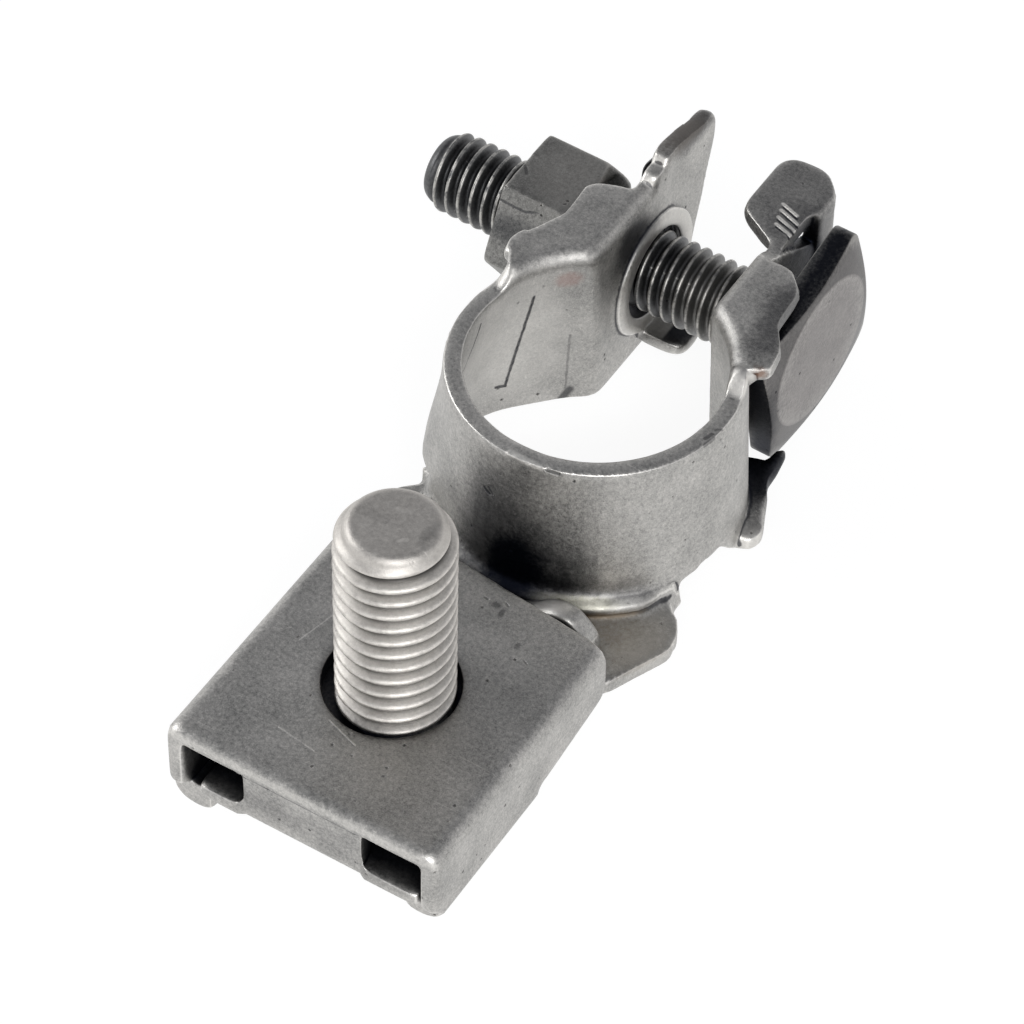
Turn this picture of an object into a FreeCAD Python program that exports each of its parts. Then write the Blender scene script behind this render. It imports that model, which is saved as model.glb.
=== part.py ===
"""Battery terminal clamp, folded from one strip of tinned sheet, with a captured stud.

A tapered ring closes on the battery post. Its two ends turn back into ears that a
clamp bolt pulls together. In front of the ring the sheet runs on as a tongue, folds
back over itself and becomes a cover with side walls, crimped under the tongue. The
box made that way holds the flat head of the stud that takes the cable.

Millimetres. The origin is on the ring's axis, level with the sheet's underside.
+X runs along the clamp bolt to its head, -Y from the ring to the stud, +Z up.
"""
import FreeCAD, Part
import os

import Sketcher

SIZES = {
    # sheet
    "gauge": 1.3,
    # ring
    "ring_height": 13.6,
    "bore_radius_top": 8.82,
    "bore_radius_foot": 9.56,
    "bead_height": 0.9,
    "bead_reach": 0.85,
    "bead_fillet": 0.8,
    "foot_sweep": 126.0,
    "relief_height": 2.4,
    "relief_front": 4.6,
    "relief_crown": 2.6,
    "relief_rear": 1.5,
    "bore_land": 2.0,
    "flange_rise": 1.2,
    "ramp_low_y": 2.1,
    "ramp_high_y": 3.7,
    # neck between ring and box
    "flange_side": 10.4,
    "flange_side_y": 6.0,
    "flange_corner": 12.3,
    "flange_corner_y": 8.8,
    "flange_waist": 11.7,
    "flange_waist_y": 10.4,
    "flange_root": 9.9,
    "flange_root_y": 14.2,
    # box round the stud's head
    "box_half_width": 10.3,
    "box_top": 5.8,
    "box_front": 35.6,
    "box_rear_left": 12.7,
    "box_rear_right": 15.0,
    "box_arris": 1.1,
    "wall_rear_lift": 1.3,
    "tongue_gap_left": 1.1,
    "tongue_gap_right": 0.1,
    "fold_half_width": 4.5,
    "fold_arris": 0.5,
    "crimp_front": 34.9,
    "crimp_depth_left": 2.1,
    "crimp_depth_right": 1.3,
    "crimp_rear": 23.0,
    "crimp_reach": 1.6,
    "crimp_round": 1.2,
    # stud
    "stud_back": 10.8,
    "stud_radius": 3.95,
    "stud_neck_radius": 3.6,
    "stud_neck_rise": 0.2,
    "stud_play": 0.6,
    "stud_lean": 0.3,
    "stud_top": 21.3,
    "stud_lead": 1.0,
    "stud_head_long": 15.0,
    "stud_head_play": 0.25,
    "stud_head_lift": 0.1,
    "stud_head_corner": 1.2,
    # ears
    "ear_left": 4.6,
    "ear_right": 4.15,
    "ear_bend": 1.15,
    "ear_corner": 0.9,
    "ear_root": 6.5,
    "ear_rear": 24.2,
    "ear_low_rear": 21.4,
    "ear_crest": 15.5,
    "ear_nose": 13.3,
    "ear_tip_round": 0.9,
    "step_near_y": 15.5,
    "step_far_y": 17.0,
    "ear_toe": 0.8,
    "ear_low_end": 17.0,
    "ear_knee": 4.2,
    "right_ear_rear": 20.6,
    "right_ear_neck": 15.2,
    "right_ear_shoulder": 10.6,
    # clamp bolt and its hole
    "bolt_y": 15.34,
    "bolt_height": 6.88,
    "bolt_radius": 3.0,
    "bolt_yaw": -1.9,
    "bolt_pitch": 0.56,
    "bolt_free_end": 22.4,
    "bolt_head_face": 7.0,
    "bolt_head_thick": 2.2,
    "bolt_head_across": 12.6,
    "bolt_head_corner": 1.0,
    "bolt_head_turn": 13.1,
    "bolt_head_disc": 5.3,
    "bolt_head_slope": 0.2,
    "bolt_lead": 0.8,
    "hole_play": 0.5,
    "collar_wall": 1.4,
    "collar_reach": 0.5,
    # nut
    "nut_face": 9.4,
    "nut_thick": 5.6,
    "nut_across": 10.0,
    "nut_turn": 4.6,
    "nut_running": 0.05,
    "nut_bevel": 0.6,
    # left flange
    "flange_round": 0.8,
    "left_root": 8.5,
    "left_root_y": 2.5,
    "left_lobe": 10.8,
    "left_lobe_y": 4.6,
    "left_shoulder": 10.6,
    "left_shoulder_y": 3.0,
    "left_waist": 8.5,
    "left_waist_y": 10.0,
    "left_tip": 8.8,
    "left_tip_y": 13.5,
    "left_end": 6.4,
    "left_end_y": 14.4,
    # right flange
    "right_root_y": 4.7,
    "right_start": 8.5,
    "right_root": 10.1,
    "right_lobe": 9.8,
    "right_lobe_y": 6.6,
    "right_waist": 8.4,
    "right_waist_y": 8.7,
    "right_tip": 8.2,
    "right_tip_y": 12.2,
    "right_end_y": 13.6,
    "right_end_x": 7.3,
    # hook over the bolt head
    "hook_neck_y": 16.1,
    "hook_neck_out": 5.0,
    "hook_inner": 0.7,
    "hook_near_y": 18.2,
    "hook_far_y": 24.4,
    "hook_out": 5.7,
    "hook_gap_y": 20.2,
    "hook_drop": 6.0,
    "hook_round": 0.6,
    "hook_corner": 1.2,
    "hook_slant": 1.7,
    # lower flange beside the ring
    "beak_near_y": 1.6,
    "beak_corner": 11.7,
    "beak_corner_y": 2.4,
    "beak_mid": 9.9,
    "beak_mid_y": 6.4,
    "beak_horn": 9.85,
    "beak_horn_y": 8.2,
    "beak_tip": 9.4,
    "beak_tip_y": 9.55,
    "beak_notch": 8.8,
    "beak_notch_y": 8.8,
    "beak_end": 7.4,
    "beak_end_y": 8.4,
    "beak_back": 7.5,
    # tab under the bolt
    "tab_near_y": 13.6,
    "tab_far_y": 17.0,
    "tab_end": 0.8,
    "tab_floor": 1.3,
    "tab_thick": 1.1,
    "tab_round": 1.0,
    # wing behind the nut
    "wing_y": 20.6,
    "wing_mid": 6.5,
    "wing_out": 9.0,
    "wing_root_top": 13.5,
    "wing_top": 9.2,
    "wing_low": 4.6,
    # lanced stop between the box and the ring's foot
    "wedge_front": 13.9,
    "wedge_deep": 1.9,
    "wedge_left": 1.6,
    "wedge_mid": 6.6,
    "wedge_right": 8.2,
    "wedge_top": 5.0,
    "wedge_side": 3.4,
}

DERIVED = {
    "flange_top": "ring_height + flange_rise",
    "rim_radius": "bore_radius_top + gauge",
    "wall_foot_radius": "bore_radius_foot + gauge",
    "bead_top": "gauge + bead_height",
    "bead_seat": "bore_radius_foot + gauge / 2",
    "bead_radius": "wall_foot_radius + bead_reach",
    "box_inner": "box_half_width - gauge",
    "box_under": "box_top - gauge",
    "box_front_inner": "box_front - gauge",
    "box_rear_wall": "box_rear_right",
    "tongue_left": "box_inner - tongue_gap_left",
    "tongue_right": "box_inner - tongue_gap_right",
    "crimp_inner": "box_inner - crimp_reach",
    "stud_x": "stud_lean",
    "stud_y": "box_front - stud_back",
    "stud_hole_radius": "stud_radius + stud_play",
    "stud_head_half": "box_inner - stud_head_play",
    "stud_head_base": "gauge + stud_head_lift",
    "stud_head_top": "box_under - stud_head_lift",
    "ear_left_outer": "ear_left + gauge",
    "ear_left_toe": "ear_left + ear_toe",
    "ear_left_toe_outer": "ear_left + ear_toe + gauge",
    "ear_past": "ear_rear + gauge",
    "ear_cut": "ear_toe + 2 * gauge",
    "ear_root_front": "ear_root - gauge",
    "ear_crest_over": "ear_crest + gauge",
    "step_half": "(flange_top + ear_crest) / 2",
    "flange_over": "flange_top + gauge",
    "wing_in": "ear_left + gauge / 2",
    "hole_radius": "bolt_radius + hole_play",
    "collar_radius": "hole_radius + collar_wall",
    "flange_under": "ring_height - gauge",
    "hook_apron_in": "hook_out - gauge",
    "hook_slant_in": "hook_out - hook_slant",
    "hook_slant_y": "hook_far_y - hook_slant",
    "right_ear_root": "right_ear_neck - gauge",
    "nut_bore": "bolt_radius + nut_running",
    "bolt_head_out": "bolt_head_face + bolt_head_thick",
    "bolt_head_reach": "bolt_head_across",
    "bolt_head_cone": "bolt_head_out - (bolt_head_reach - bolt_head_disc) * bolt_head_slope",
    "gauge_half": "gauge / 2",
    "tab_near_y_cut": "tab_near_y - gauge",
    "relief_rear_half": "relief_rear / 2",
    "stud_head_thick": "stud_head_top - stud_head_base",
    "stud_head_front": "stud_y + stud_head_long / 2",
    "stud_head_rear": "stud_y - stud_head_long / 2",
    "stud_neck_top": "box_top + stud_neck_rise",
    "stud_neck_length": "stud_neck_top - stud_head_base",
    "stud_length": "stud_top - stud_neck_top",
    "beak_root_y": "sqrt(bead_seat * bead_seat - ear_right * ear_right)",
    "beak_back_y": "sqrt(bead_seat * bead_seat - beak_back * beak_back)",
    "bolt_length": "bolt_free_end + bolt_head_face",
    "head_far": "bolt_head_across / 2 * (cos(bolt_head_turn) + sin(bolt_head_turn))",
    "head_near": "bolt_head_across / 2 * (cos(bolt_head_turn) - sin(bolt_head_turn))",
    "nut_outer": "nut_across / sqrt(3)",
    "nut_bevel_start": "nut_across / 2 - nut_bevel / 4",
    "nut_bevel_end": "nut_face + nut_bevel",
    "nut_ay": "nut_outer * cos(nut_turn)",
    "nut_az": "nut_outer * sin(nut_turn)",
    "nut_by": "nut_outer * cos(nut_turn + 60)",
    "nut_bz": "nut_outer * sin(nut_turn + 60)",
    "nut_cy": "nut_outer * cos(nut_turn + 120)",
    "nut_cz": "nut_outer * sin(nut_turn + 120)",
}


def write_sheet(document):
    """Put every size in the sheet, first the plain numbers and then what follows from them."""
    sheet = document.addObject("Spreadsheet::Sheet", "Sizes")
    row = 1
    for name, value in SIZES.items():
        sheet.set(f"A{row}", name)
        sheet.set(f"B{row}", str(value))
        sheet.setAlias(f"B{row}", name)
        row += 1
    document.recompute()
    for name, formula in DERIVED.items():
        sheet.set(f"A{row}", name)
        sheet.set(f"B{row}", "=" + formula)
        sheet.setAlias(f"B{row}", name)
        document.recompute()
        row += 1
    return sheet


def size(name):
    """Value of a cell, where a leading minus turns the sign."""
    if isinstance(name, (int, float)):
        return float(name)
    sign = -1.0 if name.startswith("-") else 1.0
    return sign * float(SHEET.get(name.lstrip("-")))


def bound(name):
    """Expression that reads the cell."""
    if name.startswith("-"):
        return "-Sizes." + name[1:]
    return "Sizes." + name


def plane(body, role):
    """One of the body's three origin planes."""
    for feature in body.Origin.OriginFeatures:
        if feature.Role == role:
            return feature
    raise ValueError(role)


def new_sketch(body, name, role, offset=None):
    """Sketch on an origin plane, moved along the plane's normal by a named size."""
    sketch = body.newObject("Sketcher::SketchObject", name)
    sketch.AttachmentSupport = (plane(body, role), [""])
    sketch.MapMode = "FlatFace"
    if offset:
        sketch.setExpression(".AttachmentOffset.Base.z", bound(offset))
    return sketch


def settle(feature):
    """Recompute and stop where the feature has failed."""
    DOCUMENT.recompute()
    if "Invalid" in feature.State or "Error" in feature.State or not feature.Shape.isValid():
        raise RuntimeError(feature.Name + " fails")
    return feature


def place_point(sketch, element, position, across, up):
    """Hold one point of the sketch at two named sizes from its origin."""
    for kind, name in (("DistanceX", across), ("DistanceY", up)):
        index = sketch.addConstraint(
            Sketcher.Constraint(kind, -1, 1, element, position, size(name)))
        if not isinstance(name, (int, float)):
            sketch.setExpression(f"Constraints[{index}]", bound(name))


def draw_outline(sketch, corners):
    """Closed outline of straight edges through the named corners."""
    points = [FreeCAD.Vector(size(x), size(y), 0) for x, y in corners]
    count = len(points)
    for i in range(count):
        sketch.addGeometry(Part.LineSegment(points[i], points[(i + 1) % count]))
    for i in range(count):
        sketch.addConstraint(Sketcher.Constraint("Coincident", i, 2, (i + 1) % count, 1))
    for i, (x, y) in enumerate(corners):
        place_point(sketch, i, 1, x, y)


def draw_circle(sketch, across, up, radius):
    """Circle of a named radius."""
    centre = FreeCAD.Vector(size(across), size(up), 0)
    index = sketch.addGeometry(Part.Circle(centre, FreeCAD.Vector(0, 0, 1), size(radius)))
    place_point(sketch, index, 3, across, up)
    rule = sketch.addConstraint(Sketcher.Constraint("Radius", index, size(radius)))
    sketch.setExpression(f"Constraints[{rule}]", bound(radius))


def pad(body, name, sketch, length, back=False, middle=False):
    """Pad the sketch along its normal, or against it with back."""
    feature = body.newObject("PartDesign::Pad", name)
    feature.Profile = sketch
    feature.Length = size(length)
    feature.setExpression("Length", bound(length))
    feature.Reversed = back
    feature.Midplane = middle
    return settle(feature)


def turn(body, name, sketch, kind="Revolution", axis="V_Axis", angle=None):
    """Revolution or groove of the sketch about one of its own axes."""
    feature = body.newObject("PartDesign::" + kind, name)
    feature.Profile = sketch
    feature.ReferenceAxis = (sketch, [axis])
    feature.Angle = size(angle) if angle else 360.0
    if angle:
        feature.setExpression("Angle", bound(angle))
        feature.Midplane = True
    return settle(feature)


def cut(body, name, sketch, length=None, back=False):
    """Pocket, through everything both ways where no length is given."""
    before = body.Tip.Shape.Volume
    feature = body.newObject("PartDesign::Pocket", name)
    feature.Profile = sketch
    if length:
        feature.Length = size(length)
        feature.setExpression("Length", bound(length))
        feature.Reversed = back
    else:
        feature.Type = "ThroughAll"
        feature.Midplane = True
    settle(feature)
    if not feature.Shape.Volume < before - 1e-6:
        raise RuntimeError(name + " cuts nothing")
    return feature


def round_edges(body, name, radius, chosen, kind="Fillet"):
    """Fillet or chamfer on the edges that the test picks."""
    base = body.Tip
    names = []
    for number, edge in enumerate(base.Shape.Edges, 1):
        if chosen(edge):
            names.append(f"Edge{number}")
    if not names:
        raise RuntimeError(name + " finds no edge")
    feature = body.newObject("PartDesign::" + kind, name)
    feature.Base = (base, names)
    if kind == "Fillet":
        feature.Radius = size(radius)
        feature.setExpression("Radius", bound(radius))
    else:
        feature.Size = size(radius)
        feature.setExpression("Size", bound(radius))
    return settle(feature)


def middle_of(edge):
    """Point halfway along an edge."""
    first, last = edge.ParameterRange
    return edge.valueAt((first + last) / 2)


def near(value, target, reach=0.02):
    """True where a value is as good as its target."""
    return abs(value - target) < reach


def kind_of(edge):
    """Type of the edge's curve, empty where the edge has shrunk to a point."""
    return "" if edge.Degenerated else edge.Curve.TypeId


def along(edge, letter, share=0.9999):
    """True for a straight edge along the axis."""
    if kind_of(edge) != "Part::GeomLine":
        return False
    run = edge.tangentAt(edge.FirstParameter)
    return abs(getattr(run, letter)) > share


DOCUMENT = FreeCAD.newDocument("battery_terminal_clamp")
SHEET = write_sheet(DOCUMENT)


def make_ring(body):
    """Foot plate, tapered wall and the bead pressed round its foot."""
    plate = new_sketch(body, "FootOutline", "XY_Plane")
    draw_outline(plate, [
        ("-flange_side", "-relief_front"), ("-flange_side", "-flange_side_y"),
        ("-flange_corner", "-flange_corner_y"), ("-flange_waist", "-flange_waist_y"),
        ("-flange_root", "-flange_root_y"), ("-tongue_left", "-box_rear_wall"),
        ("-tongue_left", "-box_front"), ("tongue_right", "-box_front"),
        ("tongue_right", "-box_rear_wall"), ("flange_root", "-flange_root_y"),
        ("flange_waist", "-flange_waist_y"), ("flange_corner", "-flange_corner_y"),
        ("flange_side", "-flange_side_y"), ("flange_side", "-relief_front")])
    pad(body, "FootPlate", plate, "gauge")
    section = new_sketch(body, "WallSection", "XZ_Plane")
    draw_outline(section, [
        (0, 0), ("wall_foot_radius", 0), ("rim_radius", "ring_height"), ("rim_radius", "flange_top"),
        (0, "flange_top")])
    turn(body, "RingWall", section)
    rim = new_sketch(body, "RimProfile", "YZ_Plane")
    draw_outline(rim, [
        ("-wall_foot_radius", "ring_height"), ("ramp_low_y", "ring_height"),
        ("ramp_high_y", "flange_top"), ("ramp_high_y", "flange_over"), ("-wall_foot_radius", "flange_over")])
    cut(body, "Rim", rim)
    bead = new_sketch(body, "BeadSection", "YZ_Plane")
    draw_outline(bead, [
        ("-bead_seat", 0), ("-bead_radius", 0), ("-bead_radius", "bead_top"), ("-bead_seat", "bead_top")])
    turn(body, "FootBead", bead, angle="foot_sweep")
    round_edges(body, "BeadHollow", "bead_fillet", lambda e: (
        kind_of(e) == "Part::GeomCircle" and near(middle_of(e).z, size("bead_top"))
        and middle_of(e).y < 0 and near(e.Curve.Radius, wall_radius(size("bead_top")), 0.05)))


def wall_radius(height):
    """Outer radius of the ring's wall at a height."""
    foot = size("wall_foot_radius")
    return foot + (size("rim_radius") - foot) * height / size("ring_height")


def make_ears(body):
    """The two plates that the bolt pulls together, with the flanges bent out of their tops."""
    left = new_sketch(body, "LeftEarPlan", "XY_Plane")
    draw_outline(left, [
        ("-ear_left", "ear_root"), ("-ear_left", "ear_low_end"), ("-ear_left_toe", "ear_rear"),
        ("-ear_left_toe_outer", "ear_rear"), ("-ear_left_outer", "ear_low_end"),
        ("-ear_left_outer", "ear_root")])
    pad(body, "LeftEar", left, "ear_crest")
    steps = new_sketch(body, "LeftEarSteps", "YZ_Plane", "-ear_left")
    draw_outline(steps, [
        ("ear_root_front", "flange_top"), ("step_near_y", "flange_top"), ("step_near_y", "step_half"),
        ("step_far_y", "step_half"), ("step_far_y", "ear_crest_over"),
        ("ear_root_front", "ear_crest_over")])
    cut(body, "LeftEarStairs", steps, "ear_cut")
    under = new_sketch(body, "LeftEarUnderside", "YZ_Plane", "-ear_left")
    draw_outline(under, [
        ("ear_low_end", 0), ("ear_low_rear", "ear_knee"), ("ear_rear", "ear_nose"),
        ("ear_past", "ear_nose"), ("ear_past", 0)])
    cut(body, "LeftEarTaper", under, "ear_cut", back=False)
    round_edges(body, "LeftEarTip", "ear_tip_round", lambda e: along(e, "x", 0.99)
                and near(middle_of(e).y, size("ear_rear"), 0.1) and near(middle_of(e).z, size("ear_crest")))
    right = new_sketch(body, "RightEarOutline", "YZ_Plane", "ear_right")
    draw_outline(right, [
        ("ear_root", 0), ("ear_low_end", 0), ("right_ear_rear", "ear_knee"),
        ("right_ear_rear", "right_ear_shoulder"), ("right_ear_neck", "ring_height"),
        ("right_end_y", "flange_top"), ("ear_root", "flange_top")])
    pad(body, "RightEar", right, "gauge")
    rim = new_sketch(body, "LeftFlangeOutline", "XY_Plane", "flange_top")
    draw_outline(rim, [
        ("-left_root", "ramp_high_y"), ("-left_shoulder", "left_shoulder_y"),
        ("-left_lobe", "left_lobe_y"), ("-left_waist", "left_waist_y"),
        ("-left_tip", "left_tip_y"), ("-left_end", "left_end_y"),
        ("-ear_left", "left_end_y"), ("-ear_left", "ear_root")])
    pad(body, "LeftFlange", rim, "gauge", back=True)
    round_edges(body, "LeftFlangeCorners", "flange_round", lambda e: along(e, "z")
                and any(near(middle_of(e).x, -size(x)) and near(middle_of(e).y, size(x + "_y"))
                        for x in ("left_lobe", "left_waist", "left_tip")))
    rim = new_sketch(body, "RightFlangeOutline", "XY_Plane", "flange_top")
    draw_outline(rim, [
        ("right_start", "ramp_high_y"), ("right_root", "right_root_y"),
        ("right_lobe", "right_lobe_y"), ("right_waist", "right_waist_y"),
        ("right_tip", "right_tip_y"), ("right_end_x", "right_end_y"),
        ("ear_right", "right_end_y"), ("ear_right", "ear_root")])
    pad(body, "RightFlange", rim, "gauge", back=True)
    round_edges(body, "RightFlangeCorners", "flange_round", lambda e: along(e, "z")
                and any(near(middle_of(e).x, size(x)) and near(middle_of(e).y, size(x + "_y"))
                        for x in ("right_lobe", "right_waist", "right_tip")))


def make_bore(body):
    """Tapered bore, the gap between the ears and the bends beside them."""
    bore = new_sketch(body, "BoreSection", "XZ_Plane")
    draw_outline(bore, [
        (0, 0), ("bore_radius_foot", 0), ("bore_radius_foot", "bore_land"),
        ("bore_radius_top", "ring_height"), ("bore_radius_top", "flange_top"), (0, "flange_top")])
    turn(body, "Bore", bore, "Groove")
    gap = new_sketch(body, "GapOutline", "XY_Plane")
    draw_outline(gap, [
        ("-ear_left", "left_root_y"), ("ear_right", "left_root_y"),
        ("ear_right", "tab_near_y_cut"), ("-ear_left", "tab_near_y_cut")])
    cut(body, "EarGap", gap)
    round_edges(body, "EarRoots", "ear_corner", is_root)
    round_edges(body, "EarBends", "ear_bend", lambda e: near(middle_of(e).z, size("flange_top"))
                and near_inner_line(middle_of(e)))


def is_root(edge):
    """True for the edge where an ear's inner face leaves the bore."""
    if len(edge.Vertexes) != 2:
        return False
    low, high = sorted((v.Point for v in edge.Vertexes), key=lambda p: p.z)
    side = near(middle_of(edge).x, -size("ear_left")) or near(middle_of(edge).x, size("ear_right"))
    return side and high.z - low.z > size("ring_height") / 2 and middle_of(edge).y < size("bore_radius_foot")


def near_inner_line(point):
    """True on the inner outline of the ring and ears, behind the roots of the flanges."""
    if point.y < size("ramp_high_y"):
        return False
    on_ear = near(point.x, -size("ear_left")) or near(point.x, size("ear_right"))
    on_bore = near((point.x ** 2 + point.y ** 2) ** 0.5, size("bore_radius_top"))
    return on_bore or (on_ear and point.y < size("left_end_y"))


def make_hook(body):
    """Paddle on a neck from the right ear, turned down behind the bolt head."""
    paddle = new_sketch(body, "HookOutline", "XY_Plane", "ring_height")
    draw_outline(paddle, [
        ("ear_right", "right_ear_root"), ("ear_right", "hook_neck_y"),
        ("hook_inner", "hook_near_y"), ("hook_inner", "hook_far_y"),
        ("hook_slant_in", "hook_far_y"), ("hook_out", "hook_slant_y"), ("hook_out", "hook_gap_y"),
        ("hook_neck_out", "hook_gap_y"), ("hook_neck_out", "right_ear_root")])
    pad(body, "HookPaddle", paddle, "gauge", back=True)
    apron = new_sketch(body, "HookApronOutline", "XY_Plane", "ring_height")
    draw_outline(apron, [
        ("hook_apron_in", "hook_gap_y"), ("hook_apron_in", "hook_slant_y"),
        ("hook_out", "hook_slant_y"), ("hook_out", "hook_gap_y")])
    pad(body, "HookApron", apron, "hook_drop", back=True)
    round_edges(body, "HookBend", "hook_round", lambda e: along(e, "y")
                and near(middle_of(e).x, size("hook_out")) and near(middle_of(e).z, size("ring_height")))
    round_edges(body, "HookCorners", "hook_corner", lambda e: along(e, "z")
                and near(middle_of(e).x, size("hook_inner")))


def make_low_flanges(body):
    """Beaked flange at the right of the foot, tab under the bolt and wing behind the nut."""
    beak = new_sketch(body, "BeakOutline", "XY_Plane")
    draw_outline(beak, [
        ("bead_seat", "beak_near_y"), ("beak_corner", "beak_near_y"), ("beak_corner", "beak_corner_y"),
        ("beak_mid", "beak_mid_y"), ("beak_horn", "beak_horn_y"), ("beak_tip", "beak_tip_y"),
        ("beak_notch", "beak_notch_y"), ("beak_end", "beak_end_y"),
        ("ear_right", "wall_foot_radius"), ("ear_right", "beak_root_y"),
        ("beak_back", "beak_back_y")])
    pad(body, "BeakFlange", beak, "gauge")
    tab = new_sketch(body, "TabOutline", "XY_Plane", "tab_floor")
    draw_outline(tab, [
        ("-ear_left_outer", "tab_near_y"), ("-tab_end", "tab_near_y"),
        ("-tab_end", "tab_far_y"), ("-ear_left_outer", "tab_far_y")])
    pad(body, "BoltTab", tab, "tab_thick")
    round_edges(body, "TabCorners", "tab_round", lambda e: along(e, "z")
                and near(middle_of(e).x, -size("tab_end")))
    wing = new_sketch(body, "WingOutline", "XZ_Plane", "-wing_y")
    draw_outline(wing, [
        ("-wing_in", "wing_root_top"), ("-wing_mid", "wing_root_top"), ("-wing_out", "wing_top"),
        ("-wing_out", "wing_low"), ("-wing_in", "wing_low")])
    pad(body, "Wing", wing, "gauge", back=True)
    wedge = new_sketch(body, "WedgeOutline", "XZ_Plane", "wedge_front")
    draw_outline(wedge, [
        ("wedge_left", "gauge_half"), ("wedge_left", "wedge_top"), ("wedge_mid", "wedge_top"),
        ("wedge_right", "wedge_side"), ("wedge_right", "gauge_half")])
    pad(body, "Wedge", wedge, "wedge_deep", back=True)


def make_box(body):
    """Cover with side walls, the fold at its front and the crimps under the tongue."""
    cover = new_sketch(body, "CoverOutline", "XY_Plane", "box_top")
    draw_outline(cover, [
        ("-box_half_width", "-box_front"), ("box_half_width", "-box_front"),
        ("box_half_width", "-box_rear_right"), ("-box_half_width", "-box_rear_left")])
    pad(body, "Cover", cover, "gauge", back=True)
    for side, sign in (("Left", "-"), ("Right", "")):
        outline = new_sketch(body, side + "WallOutline", "YZ_Plane", sign + "box_half_width")
        draw_outline(outline, [
            ("-box_front", 0), ("-crimp_rear", 0), ("-box_rear_wall", "wall_rear_lift"),
            ("-box_rear_wall", "box_top"), ("-box_front", "box_top")])
        pad(body, side + "Wall", outline, "gauge", back=(side == "Right"))
    fold = new_sketch(body, "FoldOutline", "XY_Plane")
    draw_outline(fold, [
        ("-fold_half_width", "-box_front"), ("fold_half_width", "-box_front"),
        ("fold_half_width", "-box_front_inner"), ("-fold_half_width", "-box_front_inner")])
    pad(body, "Fold", fold, "box_top")
    for side, sign in (("Left", "-"), ("Right", "")):
        crimp = new_sketch(body, side + "CrimpOutline", "XY_Plane")
        draw_outline(crimp, [
            (sign + "box_half_width", "-crimp_front"), (sign + "crimp_inner", "-crimp_front"),
            (sign + "crimp_inner", "-crimp_rear"), (sign + "box_half_width", "-crimp_rear")])
        pad(body, side + "Crimp", crimp, "crimp_depth_" + side.lower(), back=True)


def make_openings(body):
    """Reliefs at the foot, bolt holes with their collar, and stud hole."""
    collar = new_sketch(body, "CollarOutline", "YZ_Plane", "-ear_left")
    draw_circle(collar, "bolt_y", "bolt_height", "collar_radius")
    pad(body, "Collar", collar, "collar_reach")
    relief = new_sketch(body, "ReliefOutline", "YZ_Plane")
    draw_outline(relief, [
        ("-relief_front", 0), ("-relief_front", "gauge"), ("-relief_crown", "relief_height"),
        ("-relief_rear_half", "relief_height"), ("relief_rear", 0)])
    cut(body, "Relief", relief)
    hole = new_sketch(body, "BoltHoleOutline", "YZ_Plane")
    draw_circle(hole, "bolt_y", "bolt_height", "hole_radius")
    cut(body, "BoltHoles", hole)
    hole = new_sketch(body, "StudHoleOutline", "XY_Plane", "box_top")
    draw_circle(hole, 0, "-stud_y", "stud_hole_radius")
    cut(body, "StudHole", hole, "gauge")


def make_bends(body):
    """Round the arrises where the sheet is bent."""
    round_edges(body, "CoverArris", "box_arris", lambda e: along(e, "y")
                and near(abs(middle_of(e).x), size("box_half_width"))
                and near(middle_of(e).z, size("box_top")))
    round_edges(body, "CrimpArris", "crimp_round", lambda e: along(e, "y")
                and near(abs(middle_of(e).x), size("box_half_width")) and middle_of(e).z < -size("gauge") / 2)
    round_edges(body, "FoldArris", "fold_arris", lambda e: along(e, "x")
                and near(middle_of(e).y, -size("box_front")) and near(middle_of(e).x, 0, 1)
                and (near(middle_of(e).z, 0) or near(middle_of(e).z, size("box_top"))))


def make_terminal():
    """The folded sheet."""
    body = DOCUMENT.addObject("PartDesign::Body", "terminal_body")
    body.Label = "terminal_body"
    make_ring(body)
    make_ears(body)
    make_bore(body)
    make_hook(body)
    make_low_flanges(body)
    make_box(body)
    make_openings(body)
    make_bends(body)
    return body


def make_stud():
    """Stud with a flat oblong head."""
    body = DOCUMENT.addObject("PartDesign::Body", "stud")
    body.Label = "stud"
    head = new_sketch(body, "HeadOutline", "XY_Plane", "stud_head_base")
    draw_outline(head, [
        ("-stud_head_half", "-stud_head_front"), ("stud_head_half", "-stud_head_front"),
        ("stud_head_half", "-stud_head_rear"), ("-stud_head_half", "-stud_head_rear")])
    pad(body, "Head", head, "stud_head_thick")
    round_edges(body, "HeadCorners", "stud_head_corner", lambda e: along(e, "z"))
    neck = new_sketch(body, "NeckOutline", "XY_Plane", "stud_head_base")
    draw_circle(neck, "stud_x", "-stud_y", "stud_neck_radius")
    pad(body, "Neck", neck, "stud_neck_length")
    shank = new_sketch(body, "ShankOutline", "XY_Plane", "stud_neck_top")
    draw_circle(shank, "stud_x", "-stud_y", "stud_radius")
    pad(body, "Shank", shank, "stud_length")
    round_edges(body, "ShankLead", "stud_lead", lambda e: (
        kind_of(e) == "Part::GeomCircle" and near(middle_of(e).z, size("stud_top"))), "Chamfer")
    return body


def bolt_placement():
    """Seat of the clamp bolt, a little out of square as it lies in its loose holes."""
    turn_z = FreeCAD.Rotation(FreeCAD.Vector(0, 0, 1), size("bolt_yaw"))
    turn_y = FreeCAD.Rotation(FreeCAD.Vector(0, 1, 0), size("bolt_pitch"))
    return FreeCAD.Placement(
        FreeCAD.Vector(0, size("bolt_y"), size("bolt_height")), turn_z.multiply(turn_y))


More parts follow.
